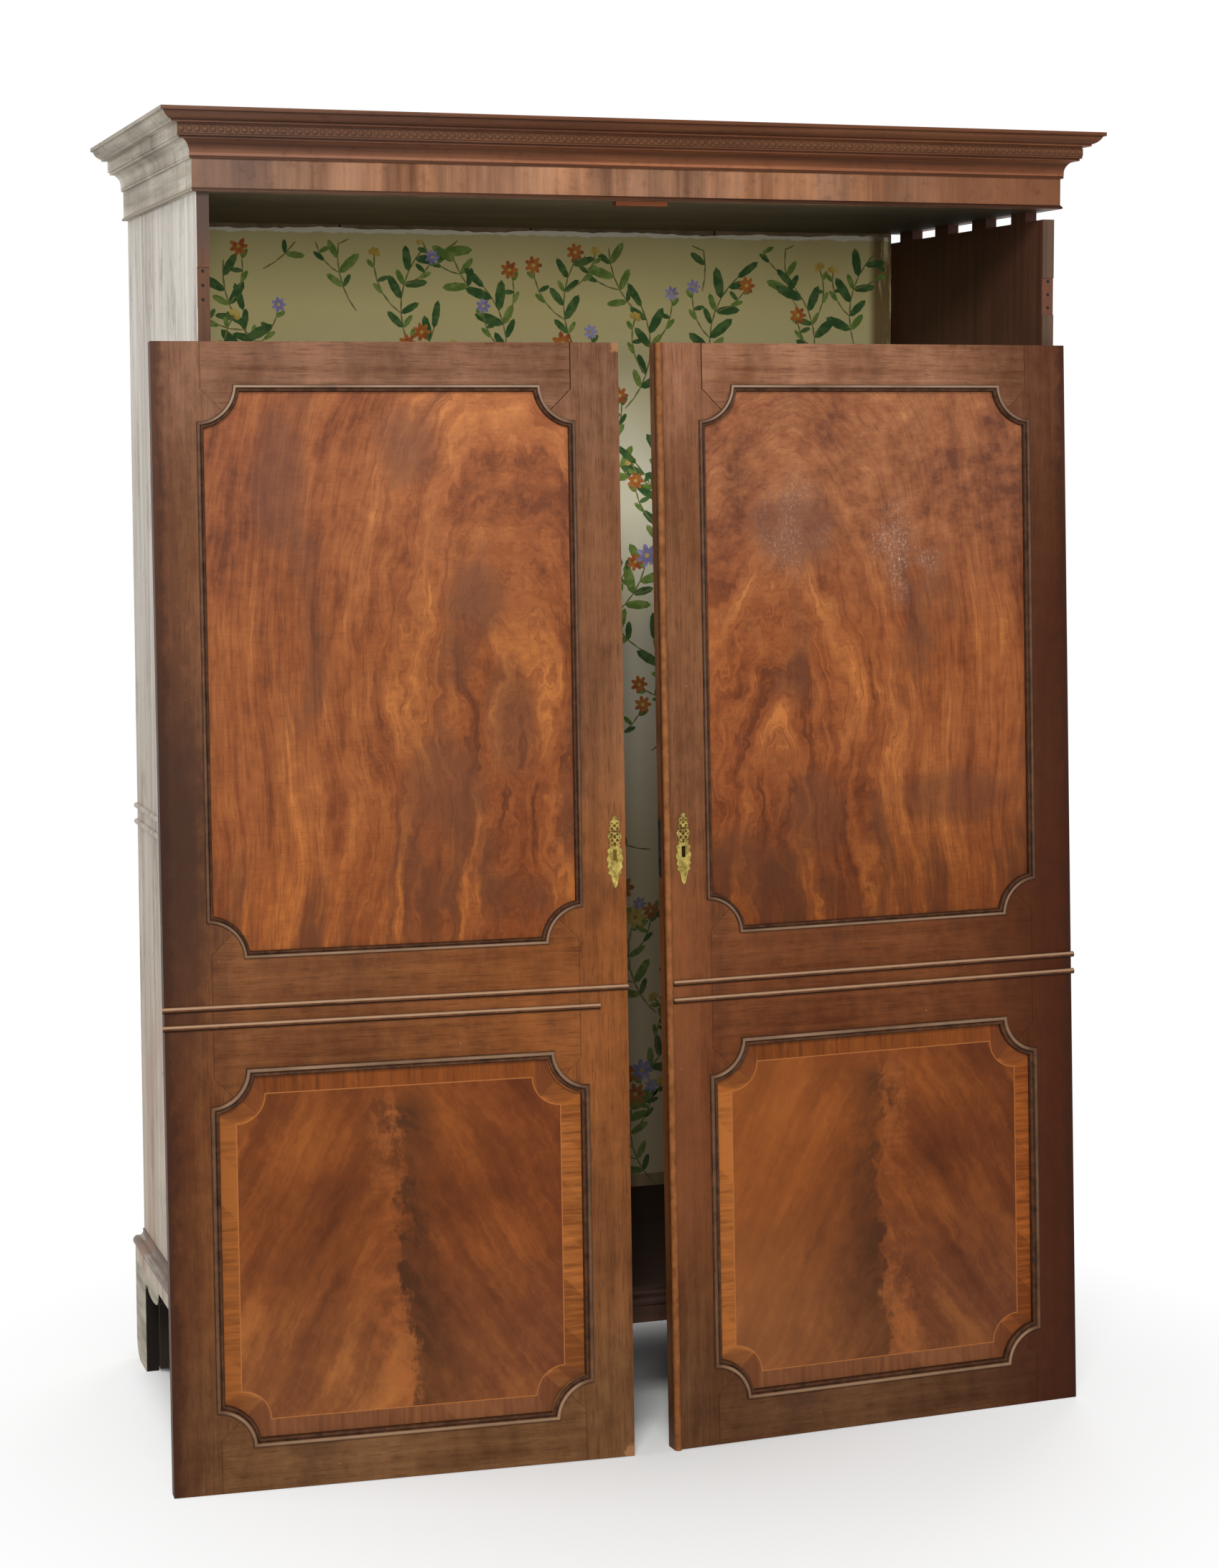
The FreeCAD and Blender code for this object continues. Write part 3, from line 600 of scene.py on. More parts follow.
# %% [markdown]
# ## Crotch veneer and banding in the lower panels
# The lower panels are cut from the fork of a tree: a dark plume runs up the middle and the figure falls
# away from it on both sides. Round it runs a pale string with turned-in corners, and a crossbanded
# border outside that. The string is drawn by distance: the nearest of two straight lines and an arc.

# %% Plume and border
LOWER_HEIGHT = LOWER_PANEL[1] - LOWER_PANEL[0]


def lower_tint(r, side, x, y):
    """Brighter on the left of the panel than on the right."""
    if side == "right":
        bright, dim = (1.16, 1.12, 0.96), (0.86, 0.80, 0.74)
    else:
        bright, dim = r.mix(r.span(y, 0.20, 0.36), (1.30, 1.28, 1.0), (1.02, 1.0, 0.84)), (0.92, 0.84, 0.76)
    return r.mix(r.span(x, 0.26, 0.52), bright, dim)


def plume(r, side, colour, y, off, wander, feather):
    """The dark plume up the middle, ragged on one side and lit along the other."""
    rag = r.grain(26, 1, 17, detail=6, rough=0.72)
    ragged = off + (rag - 0.5) * 0.13
    spread = 0.036 + (0.5 - y) * (0.14 if side == "left" else 0.24)
    dark = r.span(ragged, -0.012, 0.008) * r.span(ragged / spread, 1.1, 0.1)
    crest = r.span(abs(off), 0.07, 0.01) * r.span(y, 0.36, 0.46)
    dark = r.most(dark, crest) * r.span(y, 0.54, 0.49)
    dark = dark * (0.62 + r.span(feather, 0.42, 0.58) * 0.38)
    colour = r.mix(dark * (0.85 if side == "left" else 0.75), colour, shade(58, 34, 19))
    lit = r.span(ragged, -0.075, -0.012) * r.span(ragged, 0.002, -0.008)
    lit = lit * r.span(rag, 0.4, 0.56) * r.span(wander, 0.36, 0.54)
    return r.mix(lit * 0.62, colour, shade(157, 89, 44))


def crossband(r, side, x, y, level):
    """The border outside the string, in short blocks: level grain at the sides, upright at the ends."""
    blocks = r.calc("FLOOR", (x + y) * 13.0)
    block = r.noise(r.at(blocks * 3.7, 0.0, 0.0), detail=0)
    ribs = r.grain(9, 1, 120, detail=5, rough=0.65) * 0.55 + block * 0.45
    posts = r.grain(120, 1, 9, detail=5, rough=0.65) * 0.6 + block * 0.4
    sides = r.ramp(ribs, (0.40, shade(109, 60, 25)), (0.58, shade(162, 96, 44)))
    ends = r.ramp(posts, (0.34, shade(89, 46, 23)), (0.66, shade(135, 76, 38)))
    aged = r.mix(r.span(y, 0.10, 0.03), PLAIN, (0.88, 1.08, 1.50))
    aged = r.mix(r.span(y, 0.45, 0.54), aged, (1.06, 0.98, 0.66))
    if side == "left":
        aged = r.mix(r.span(x, 0.06, 0.03), aged, (0.76, 0.74, 0.72))
    else:
        aged = r.mix(r.span(x, 0.48, 0.55), aged, (0.92, 0.76, 0.62))
    return r.tint(r.mix(level, ends, sides), aged)


print("lower panels of", round(PANEL_WIDTH, 3), "x", round(LOWER_HEIGHT, 3), "m")

# %% Lower panel veneer
STRING_INSET = (0.040, 0.0345)
STRING_RADIUS = 0.045
PLUME_SLANT = 0.02


def lower_veneer(name, side):
    r, u, n, v = begin(name, side)
    x = u - EDGES[side][0]
    y = v - LOWER_PANEL[0]
    across = r.inside(x, STRING_INSET[0], PANEL_WIDTH - STRING_INSET[0])
    along = r.inside(y, STRING_INSET[1], LOWER_HEIGHT - STRING_INSET[1])
    turned = r.far(across, along) - STRING_RADIUS
    field = r.least(r.least(across, along), turned)
    wander = r.noise(r.at(0.0, 0.7, y * 5.5), detail=5, rough=0.7)
    middle = PANEL_WIDTH / 2 + 0.008 + (0.32 - y) * PLUME_SLANT + (wander - 0.5) * 0.09
    off = (x - middle) * (1.0 if side == "left" else -1.0)
    fall = y + abs(off) ** 1.25 * 2.1 + r.grain(4, 1, 3, detail=2) * 0.1
    broad = r.noise(r.at(fall * 9, off * 5, 0.0))
    feather = r.noise(r.at(fall * 44, off * 16, 0.4), detail=7, rough=0.7)
    cloud = r.grain(6, 1, 5)
    mottle = r.grain(60, 1, 50, detail=5, rough=0.7)
    tone = broad * 0.32 + feather * 0.2 + (cloud * 0.36 + mottle * 0.12)
    colour = r.ramp(tone, (0.40, shade(80, 40, 20)), (0.50, shade(103, 54, 26)), (0.62, shade(135, 76, 35)))
    if side == "right":
        colour = r.mix(r.span(x, 0.34, 0.06) * 0.3, colour, shade(144, 84, 40))
    colour = r.tint(colour, lower_tint(r, side, x, y))
    colour = r.mix(r.span(y, 0.36, 0.06), colour, r.tint(colour, (1.04, 1.26, 1.80)))
    colour = plume(r, side, colour, y, off, wander, feather)
    band = crossband(r, side, x, y, r.span(along - across, -0.001, 0.001))
    band = r.mix(r.span(turned, 0.0, -0.008) * 0.6, band, shade(98, 54, 29))
    colour = r.mix(r.span(field, -0.0004, 0.0004), band, colour)
    colour = r.mix(r.span(abs(field), 0.0011, 0.0006) * 0.7, colour, shade(166, 104, 55))
    colour = plain_back(r, n, colour)
    return r.settle(colour, 0.34 + cloud * 0.2, feather, 0.0002)


wood["left_lower_panel"] = lower_veneer("left_lower_veneer", "left")
wood["right_lower_panel"] = lower_veneer("right_lower_veneer", "right")

# %% [markdown]
# ## Mouldings, beads and the cornice front
# Mouldings are darker towards their hollows, partly dirt and partly painted shade, and pale on their
# crests, partly rubbed and partly a painted highlight that is stronger on the level runs. On the doors
# the depth measure tells crest from hollow. The waist beads take a painted highlight on their upper
# halves and painted shade under them, and the crown takes painted highlights and shade in bands by
# height. The cornice front is redder; its frieze is crossbanded, so its streaks stand upright.

# %% Moulding wood
WAIST_BEADS = (0.718, 0.746)


def moulding_wood(name, side, dark, light, crest, rub, lines=()):
    r, u, n, v = begin(name, side)
    streak = r.grain(60, 60, 60, detail=5, rough=0.65)
    patch = r.grain(5, 5, 5, detail=3)
    colour = r.ramp(streak, (0.32, dark), (0.72, light))
    if lines:
        # On the waist beads the upper half of each bead takes a painted highlight, and painted shade runs
        # under it.
        rubbed = 0.0
        for line in lines:
            above = v - line
            rubbed = r.most(rubbed, r.span(above, 0.0002, 0.0016) * r.span(above, 0.0046, 0.0034))
            shade_under_bead = r.span(above, -0.001, -0.003) * r.span(above, -0.006, -0.0055)
            colour = r.mix(shade_under_bead, colour, shade(44, 26, 17))
    else:
        # Elsewhere the crests are pale, partly rubbed and partly a painted highlight that is stronger on
        # the level runs.
        level = r.span(r.inside(u, 0.0, DOOR_WIDTH), 0.074, 0.1)
        rubbed = r.span(n, -0.003, -0.005) * (0.45 + r.span(patch, 0.35, 0.65) * 0.55)
        rubbed = rubbed * (0.25 + level * 0.75)
    colour = r.mix(rubbed * rub, colour, crest)
    # Darker towards the hollows, partly dirt and partly painted shade.
    colour = r.mix(r.span(n, -0.0014, 0.003) * 0.6, colour, shade(33, 20, 13))
    warm = r.mix(r.span(v, 0.1, 1.7), (0.96, 0.88, 0.76), PLAIN)
    colour = r.tint(colour, warm)
    return r.settle(colour, 0.34 + patch * 0.2, streak, 0.0002)


for side in ("left", "right"):
    wood[side + "_moulding"] = moulding_wood(
        side + "_panel_moulding", side, shade(50, 32, 23), shade(92, 62, 44), shade(158, 132, 110), 0.8)
    wood[side + "_bead"] = moulding_wood(
        side + "_waist_bead", side, shade(74, 45, 29), shade(112, 74, 51), shade(178, 148, 122), 0.75,
        WAIST_BEADS)
wood["meeting_bead"] = moulding_wood(
    "door_meeting_bead", "right", shade(101, 60, 33), shade(146, 94, 55), shade(156, 102, 62), 0.4)

# %% Cornice wood
CROWN_LOW = 2.028
CROWN_RISE = 0.072
FRIEZE_END = -0.7242


def crown_light_and_shade(r, z):
    """Painted light and shade up the crown: painted highlights on the fillets and the nosing, painted shade
    in the quirks.
    """
    share = (z - CROWN_LOW) / CROWN_RISE
    pale, plain, dim = (1.45, 1.4, 1.35), PLAIN, (0.52, 0.48, 0.46)
    bright = (2.1, 2.1, 2.15)
    return r.ramp(share, (0.0, plain), (0.045, dim), (0.062, bright), (0.105, bright),
                  (0.13, (1.3, 1.22, 1.15)), (0.30, (0.70, 0.68, 0.66)), (0.385, pale), (0.405, dim),
                  (0.435, dim), (0.46, plain), (0.66, plain), (0.70, pale), (0.735, dim), (0.77, plain),
                  (0.90, plain), (0.915, dim), (0.94, plain), (1.0, pale))


def cornice_wood(name, upright, dark, light, end_tone=None):
    r, x, _, z = begin(name, "carcass")
    grain = (70, 9, 3.0) if upright else (1.6, 120, 120)
    slow = (9, 2, 2.0) if upright else (1.5, 8, 8)
    streak = r.grain(*grain, detail=7, rough=0.66)
    drift = r.grain(*slow)
    share = 0.3 if upright else 0.5
    tone = streak * share + drift * (1 - share)
    colour = r.ramp(tone, (0.36, dark), (0.64, light))
    dust = r.grain(60, 60, 60, detail=5, rough=0.7)
    if upright:
        edge = r.grain(7, 1, 5, detail=3) * 0.05
        block = r.calc("FLOOR", (x + edge) * 16.0)
        hue = r.noise(r.at(block * 2.9, 0.3, 0.0), detail=0)
        tint = r.ramp(hue, (0.30, (0.80, 0.80, 0.84)), (0.44, (0.96, 0.94, 0.92)),
                      (0.52, (1.04, 0.98, 0.95)), (0.62, (1.10, 0.96, 0.82)), (0.72, (0.86, 0.80, 0.74)))
        colour = r.mix(0.85, colour, r.tint(colour, tint))
        colour = r.mix(r.span(x, 0.25, 0.62) * 0.72, colour, shade(108, 66, 42))
        colour = r.mix(r.span(x, -0.52, -0.66) * 0.7, colour, shade(94, 77, 69))
    else:
        colour = r.mix(r.span(x, 0.0, -0.72) * 0.4, colour, shade(98, 76, 64))
        # Above the frieze the crown takes its painted highlights and painted shade by height.
        above = r.span(z, CROWN_LOW - 0.001, CROWN_LOW)
        colour = r.mix(above, colour, r.tint(colour, crown_light_and_shade(r, z)))
    colour = r.mix(r.span(dust, 0.5, 0.8) * 0.4, colour, shade(49, 31, 23))
    if end_tone:
        colour = r.mix(r.span(x, FRIEZE_END, FRIEZE_END - 0.0006), colour, end_tone)
    return r.settle(colour, 0.36 + dust * 0.2, streak, 0.0002)


wood["crown"] = cornice_wood("crown_front_wood", False, shade(66, 37, 24), shade(113, 72, 48))
wood["beads"] = cornice_wood("crown_bead_wood", False, shade(64, 38, 25), shade(116, 77, 53))
wood["frieze"] = cornice_wood("frieze_crossband", True, shade(82, 54, 40), shade(172, 128, 98))
wood["frieze_bead"] = cornice_wood("frieze_bead_wood", False, shade(42, 24, 16), shade(74, 46, 31),
                                   shade(140, 130, 113))
wood["plain"] = cornice_wood("plain_mahogany", False, shade(64, 36, 23), shade(106, 66, 42))

# %% [markdown]
# ## The weathered left side
# The left side has stood in the light: its polish has gone pale grey with upright streaks, while its
# front edge and inner face are still brown. One finish does both, and the distance from the outer
# face chooses between them.

# %% Bleached wood
HINGE_MIDDLES = (0.3820, 1.1105, 1.8390)
HOLE_RISE = 0.0215
HOLE_PLACE = 0.7075
SIDE_FACE = -0.7165
WARM_LOW = (0.86, 0.79, 0.71)
UP_GRAIN = (50, 50, 1.7)
BACK_GRAIN = (50, 2.2, 50)


def screw_holes(r, x, z):
    """1 in the old screw holes of the hinge recesses, on either side board."""
    across = abs(abs(x) - HOLE_PLACE)
    holes = None
    for middle in HINGE_MIDDLES:
        for height in (middle - HOLE_RISE, middle, middle + HOLE_RISE):
            away = r.far(across, z - height)
            holes = away if holes is None else r.least(holes, away)
    return r.span(holes, 0.0032, 0.0022)


def bleached_wood(name, pale, grey, grain, low_tint=WARM_LOW):
    r, x, _, z = begin(name, "carcass")
    streak = r.grain(*grain, detail=6, rough=0.6)
    patch = r.grain(5, 5, 1.5)
    tone = streak * 0.6 + patch * 0.5
    outside = r.ramp(tone, (0.40, grey), (0.62, pale), (0.80, shade(222, 218, 210)))
    outside = r.tint(outside, r.mix(r.span(z, 1.7, 0.2), PLAIN, low_tint))
    stain = r.grain(22, 22, 5, detail=7, rough=0.75)
    outside = r.mix(r.span(stain, 0.5, 0.72) * 0.7, outside, shade(112, 100, 88))
    spot = r.grain(60, 60, 25, rough=0.7)
    outside = r.mix(r.span(spot, 0.6, 0.74) * 0.7, outside, shade(78, 66, 56))
    blush = r.grain(9, 9, 2.5)
    blush = r.span(blush, 0.48, 0.66) * r.span(z, 1.3, 0.5)
    outside = r.mix(blush * 0.45, outside, shade(150, 116, 98))
    brown = r.ramp(streak, (0.3, shade(62, 40, 28)), (0.7, shade(100, 66, 45)))
    brown = r.mix(r.span(z, 1.86, 1.93) * 0.7, brown, shade(64, 54, 50))
    # Painted shade darkens the brown faces low down.
    brown = r.mix(r.span(z, 0.32, 0.22) * 0.85, brown, shade(34, 20, 15))
    brown = r.mix(screw_holes(r, x, z), brown, shade(12, 8, 6))
    colour = r.mix(r.span(x, SIDE_FACE, SIDE_FACE + 0.0005), outside, brown)
    return r.settle(colour, 0.62, streak, 0.0003, gloss=0.2)


wood["bleached"] = bleached_wood("bleached_side", shade(198, 192, 183), shade(160, 150, 139), UP_GRAIN)
wood["bleached_cornice"] = bleached_wood("bleached_cornice", shade(172, 163, 147), shade(104, 97, 86),
                                         BACK_GRAIN)
wood["base"] = bleached_wood("base_moulding_grey", shade(128, 116, 107), shade(88, 78, 71), BACK_GRAIN,
                             (0.92, 0.88, 0.84))

# %% Foot wood
FOOT_FACE = -0.7330
FRONT_FACE = -0.0160


def foot_wood(name):
    """Grey outside, with painted shade making the faces inside the feet near black."""
    r, x, y, _ = begin(name, "carcass")
    streak = r.grain(40, 6, 40, detail=6, rough=0.65)
    outside = r.ramp(streak, (0.32, shade(128, 120, 104)), (0.70, shade(186, 178, 160)))
    brown = r.ramp(streak, (0.3, shade(70, 43, 28)), (0.7, shade(112, 72, 48)))
    face = r.span(x, FOOT_FACE + 0.0012, FOOT_FACE + 0.0004)
    front = r.span(y, FRONT_FACE + 0.0012, FRONT_FACE + 0.0004) * r.span(x, FOOT_FACE, FOOT_FACE + 0.002)
    # The faces inside the feet are painted near black as shade.
    colour = r.mix(face, shade(26, 19, 14), outside)
    colour = r.mix(front, colour, brown)
    right_face = r.span(x, -FOOT_FACE - 0.0012, -FOOT_FACE - 0.0004)
    colour = r.mix(right_face, colour, brown)
    return r.settle(colour, 0.65, streak, 0.0003, gloss=0.15)


wood["foot"] = foot_wood("foot_wood")

# %% [markdown]
# ## Inner and secondary woods
# Inside and behind, a maker saved on polish and on wood: the back is plain deal boards, nailed on and
# darker at their joints. The right side shows its inner face, and its front edge has the hinge recesses.
# The bottom board, the front rail of the base and the blocks are painted dark as shade, and the soffit
# darkens towards its right end as painted shade.

# %% Inner and secondary woods
BACK_BOARD = 0.3485
NAIL_ROWS = (0.26, 0.98, 1.94)
NAIL_OFF = 0.13


def board_joints(r, x, z, colour):
    """Tell one back board from the next by tone, and draw their joints and the nails that hold them."""
    count = x / BACK_BOARD
    hue = r.noise(r.at(r.calc("FLOOR", count) * 3.3, 0.4, 0.0), detail=0)
    colour = r.tint(colour, r.ramp(hue, (0.3, (0.78, 0.75, 0.7)), (0.7, (1.12, 1.1, 1.05))))
    off = abs(r.calc("FRACT", count) - 0.5) * BACK_BOARD
    to_joint = BACK_BOARD / 2 - off
    colour = r.mix(r.span(to_joint, 0.0022, 0.0010), colour, shade(24, 18, 12))
    for row in NAIL_ROWS:
        away = r.far(off - NAIL_OFF, z - row)
        colour = r.mix(r.span(away, 0.016, 0.004) * 0.5, colour, shade(58, 46, 36))
        colour = r.mix(r.span(away, 0.0042, 0.0034), colour, shade(38, 34, 30))
    return colour


def raw_wood(name, dark, light, grain, gloss=0.2, rough=0.7, edge=None, dim=0.0, joints=False):
    r, x, y, z = begin(name, "carcass")
    streak = r.grain(*grain, detail=6, rough=0.6)
    patch = r.grain(4, 4, 3)
    tone = streak * 0.6 + patch * 0.5
    colour = r.ramp(tone, (0.38, dark), (0.78, light))
    if joints:
        colour = board_joints(r, x, z, colour)
    # Darker towards the right by the share dim; on the soffit this is painted shade.
    colour = r.mix(r.span(x, 0.0, 0.7) * dim, colour, shade(20, 15, 12))
    if edge:
        outside = r.ramp(tone, (0.40, shade(82, 48, 29)), (0.72, shade(136, 88, 57)))
        colour = r.mix(r.span(x, -SIDE_FACE - 0.0004, -SIDE_FACE + 0.0002), colour, outside)
        front = r.ramp(streak, (0.3, edge[0]), (0.7, edge[1]))
        recess = r.ramp(patch, (0.4, shade(78, 46, 34)), (0.6, shade(104, 66, 48)))
        front = r.mix(r.span(y, 0.0008, 0.0014), front, recess)
        front = r.mix(screw_holes(r, x, z), front, shade(14, 9, 7))
        colour = r.mix(r.span(y, 0.0030, 0.0024), colour, front)
    return r.settle(colour, rough, streak, 0.0003, gloss=gloss)


wood["inner"] = raw_wood("inner_mahogany", shade(54, 32, 24), shade(94, 56, 40), (60, 60, 2), 0.2, 0.5,
                         (shade(58, 42, 32), shade(98, 74, 57)))
# The bottom board is painted dark as shade.
wood["bottom"] = raw_wood("bottom_mahogany_painted_shade", shade(33, 22, 16), shade(58, 40, 30), (2, 60, 60))
wood["back"] = raw_wood("back_deal", shade(108, 90, 68), shade(158, 136, 104), (40, 40, 1.5), joints=True)
wood["back_rail"] = raw_wood("back_rail_deal", shade(108, 90, 68), shade(158, 136, 104), (2, 40, 40))
# The soffit darkens to the right as painted shade.
wood["soffit"] = raw_wood("soffit_deal", shade(84, 73, 52), shade(120, 106, 80), (2, 40, 40), dim=0.6)
# The blocks and the back rail of the base are painted dark as shade.
wood["block"] = raw_wood("block_deal_painted_shade", shade(30, 23, 17), shade(52, 41, 30), (40, 40, 3))
# The front rail of the base is darkened as painted shade.
wood["base_rail"] = raw_wood("base_rail_mahogany_with_painted_shade", shade(40, 24, 18), shade(70, 44, 32), (3, 60, 60))
wood["stop"] = raw_wood("stop_mahogany", shade(110, 58, 34), shade(160, 92, 56), (3, 60, 60))

# %% [markdown]
# ## Metal
# The escutcheons and hinges are old lacquered brass, dull and a little green in the hollows; the lock
# is iron. Both are rough metals with a slow change of tone.

# %% Brass and iron
def old_metal(name, dark, light, rough):
    r, *_ = begin(name, "carcass")
    patch = r.grain(90, 90, 90, detail=5, rough=0.65)
    colour = r.ramp(patch, (0.32, dark), (0.66, light))
    return r.settle(colour, rough + patch * 0.2, patch, 0.0002, metal=0.85)


PLATE_MIDDLE = {"left": DOOR_WIDTH - 0.018, "right": 0.032}
KEY_HEIGHT = 0.959
LATTICE = 0.0092


def plate_brass(name, side, key_tone):
    """Brass of an escutcheon: dark openings of its lattice, and the keyhole or the sham one."""
    r, u, _, v = begin(name, side)
    patch = r.grain(120, 120, 120, detail=5, rough=0.65)
    colour = r.ramp(patch, (0.32, shade(98, 80, 34)), (0.66, shade(180, 160, 88)))
    across = u - PLATE_MIDDLE[side]
    along = v - KEY_HEIGHT
    off = abs(across)
    opening = r.span(along, 0.009, 0.011) * r.span(along, 0.048, 0.045)
    opening = opening * r.span(off, 0.0092, 0.008)
    for diagonal in (along + across, along - across):
        part = r.calc("FRACT", diagonal / LATTICE)
        opening = opening * r.span(abs(part - 0.5), 0.36, 0.28)
    colour = r.mix(opening * 0.85, colour, shade(58, 34, 18))
    key = r.span(off, 0.0034, 0.0027) * r.span(along, 0.0045, 0.0035)
    key = key * r.span(along, -0.014, -0.013)
    colour = r.mix(key, colour, key_tone)
    return r.settle(colour, 0.32 + patch * 0.2, patch, 0.0002, metal=0.8)


metal = {
    "left_plate": plate_brass("left_escutcheon_brass", "left", shade(92, 72, 32)),
    "right_plate": plate_brass("right_escutcheon_brass", "right", shade(14, 9, 6)),
    "brass": old_metal("old_brass", shade(90, 74, 32), shade(172, 152, 82), 0.32),
    "iron": old_metal("old_iron", shade(52, 46, 42), shade(96, 88, 80), 0.5),
}

# %% [markdown]
# ## The cloth lining
# The back is lined with printed cotton, stretched and tacked. The cloth is a fine grid whose top edge
# wanders and frays a little; Solidify gives it its thickness. The print is a generic sprig pattern of
# my own: leaves, berries and daisies as thin shapes on the cloth, in a half-drop repeat.

# %% Cloth and print finishes
low, high = (Vector(corner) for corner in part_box("back_lining"))
CLOTH_WIDTH = high.x - low.x
CLOTH_HEIGHT = high.z - low.z
CLOTH_FACE = low.y
CLOTH_TOP = high.z
THREADS = 5200


def cloth_finish(name, colour, stain):
    r, x, _, z = begin(name, "carcass")
    weave = r.calc("SINE", x * THREADS) * r.calc("SINE", z * THREADS)
    patch = r.grain(3, 3, 3, detail=5)
    tone = r.mix(r.span(patch, 0.45, 0.75) * 0.6, colour, stain)
    tone = r.mix((weave + 1.0) * 0.06, tone, (0.1, 0.09, 0.07))
    # Painted shade: the cloth darkens towards the bottom.
    tone = r.mix(r.span(z, 1.5, 0.7) * 0.85, tone, shade(140, 120, 85))
    # Painted shade: under the cornice the top of the cloth is tinted browner.
    tone = r.tint(tone, r.mix(r.span(z, 1.5, 1.86), PLAIN, (0.8, 0.72, 0.43)))
    # The pale line along the top edge is partly frayed threads and partly a painted highlight.
    thread = r.grain(45, 1, 1) * 0.012
    tone = r.mix(r.span(z + thread, CLOTH_TOP - 0.006, CLOTH_TOP - 0.003), tone, (0.95, 0.89, 0.7))
    drip = r.grain(26, 1, 4, detail=5, rough=0.7)
    brown = r.span(x, 0.648, 0.668) * r.span(drip, 0.38, 0.5)
    tone = r.mix(brown * 0.85, tone, shade(104, 72, 38))
    return r.settle(tone, 0.9, weave, 0.0001, gloss=0.1)


def ink(name, colour, second):
    r, _, _, z = begin(name, "carcass")
    patch = r.grain(70, 70, 70)
    tone = r.mix(r.span(patch, 0.40, 0.64), colour, second)
    # Painted shade: the inks darken towards the bottom, as the cloth does.
    tone = r.mix(r.span(z, 1.5, 0.7) * 0.62, tone, shade(64, 61, 41))
    return r.settle(tone, 0.9, patch, 0.0001, gloss=0.1)


cotton = cloth_finish("lining_cotton", shade(251, 246, 218), shade(240, 226, 180))
inks = [
    ink("ink_leaf", shade(108, 138, 62), shade(146, 164, 88)),
    ink("ink_dark_leaf", shade(66, 100, 56), shade(98, 126, 70)),
    ink("ink_stem", shade(146, 138, 84), shade(118, 122, 74)),
    ink("ink_orange", shade(206, 128, 62), shade(176, 92, 54)),
    ink("ink_violet", shade(146, 138, 182), shade(182, 172, 208)),
    ink("ink_yellow", shade(226, 196, 104), shade(202, 166, 74)),
]

# %% Cloth
def finished(name, shape, body, slot, *finishes):
    """A bmesh made into an object at the origin, riding on a body."""
    mesh = bpy.data.meshes.new(name)
    shape.to_mesh(mesh)
    shape.free()
    made = new_object(name, mesh)
    for finish in finishes:
        mesh.materials.append(finish)
    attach(made, body)
    print(name, len(mesh.polygons), "faces on", body)
    return made


def thicken(piece, thickness, offset):
    layer = piece.modifiers.new("thickness", "SOLIDIFY")
    layer.thickness = thickness
    layer.offset = offset


CLOTH_COLUMNS, CLOTH_ROWS = 120, 40
RAG = 0.0012
RAG_ROWS = 0.05
draw = random.Random(7)
cloth = bmesh.new()
bmesh.ops.create_grid(cloth, x_segments=CLOTH_COLUMNS, y_segments=CLOTH_ROWS, size=0.5)
top_wave = [draw.uniform(-1, 1) for _ in range(CLOTH_COLUMNS + 1)]
for vert in cloth.verts:
    column = round((vert.co.x + 0.5) * CLOTH_COLUMNS)
    slow = math.sin(vert.co.x * 19) + math.sin(vert.co.x * 43 + 1)
    dip = RAG * (slow - 2) + RAG * (top_wave[column] - 1)
    share = max(0.0, (vert.co.y - 0.5 + RAG_ROWS) / RAG_ROWS)
    place = Vector((vert.co.x * CLOTH_WIDTH, 0, vert.co.y * CLOTH_HEIGHT + dip * share))
    vert.co = place + (low + high) / 2
    vert.co.y = high.y - 0.0002
bmesh.ops.recalc_face_normals(cloth, faces=cloth.faces)
lining = finished("lining_cloth", cloth, "carcass", "lining", cotton)
thicken(lining, 0.0006, 1 if lining.data.polygons[0].normal.y < 0 else -1)
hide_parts("back_lining")

# %% Leaves, stalks and flowers
PRINT_LAYER = 0.000006
STALK_WIDTH = 0.0032


def join(target, shape):
    mesh = bpy.data.meshes.new("part")
    shape.to_mesh(mesh)
    shape.free()
    target.from_mesh(mesh)
    bpy.data.meshes.remove(mesh)


def oval(shape, where, angle, length, width, colour, sides=8):
    """One flat printed shape: an oval with its near end at a point, in the plane of the cloth."""
    made = bmesh.ops.create_circle(shape, cap_ends=True, segments=sides, radius=0.5)["verts"]
    lift = PRINT_LAYER * len(shape.faces)
    place = Matrix.Translation((*where, lift)) @ Matrix.Rotation(angle, 4, "Z")
    place = place @ Matrix.Translation((length / 2, 0, 0)) @ Matrix.Diagonal((length, width, 1, 1))
    bmesh.ops.transform(shape, matrix=place, verts=made)
    for face in {face for vert in made for face in vert.link_faces}:
        face.material_index = colour


def stem(shape, where, angle, length, curl, steps=6):
    """A thin stalk of short runs that turns a little at each; gives back the points and turns along it."""
    walk = []
    point = Vector(where)
    for _ in range(steps):
        oval(shape, point, angle, length / steps * 1.2, STALK_WIDTH, 2, 6)
        point = point + Vector((math.cos(angle), math.sin(angle))) * (length / steps)
        angle += curl / steps
        walk.append((point.copy(), angle))
    return walk


def daisy(shape, where, size, colour):
    for petal in range(7):
        oval(shape, where, petal * math.tau / 7, size, size * 0.48, colour)
    oval(shape, (where[0] - size * 0.2, where[1]), 0, size * 0.4, size * 0.4, 5 if colour != 5 else 3)


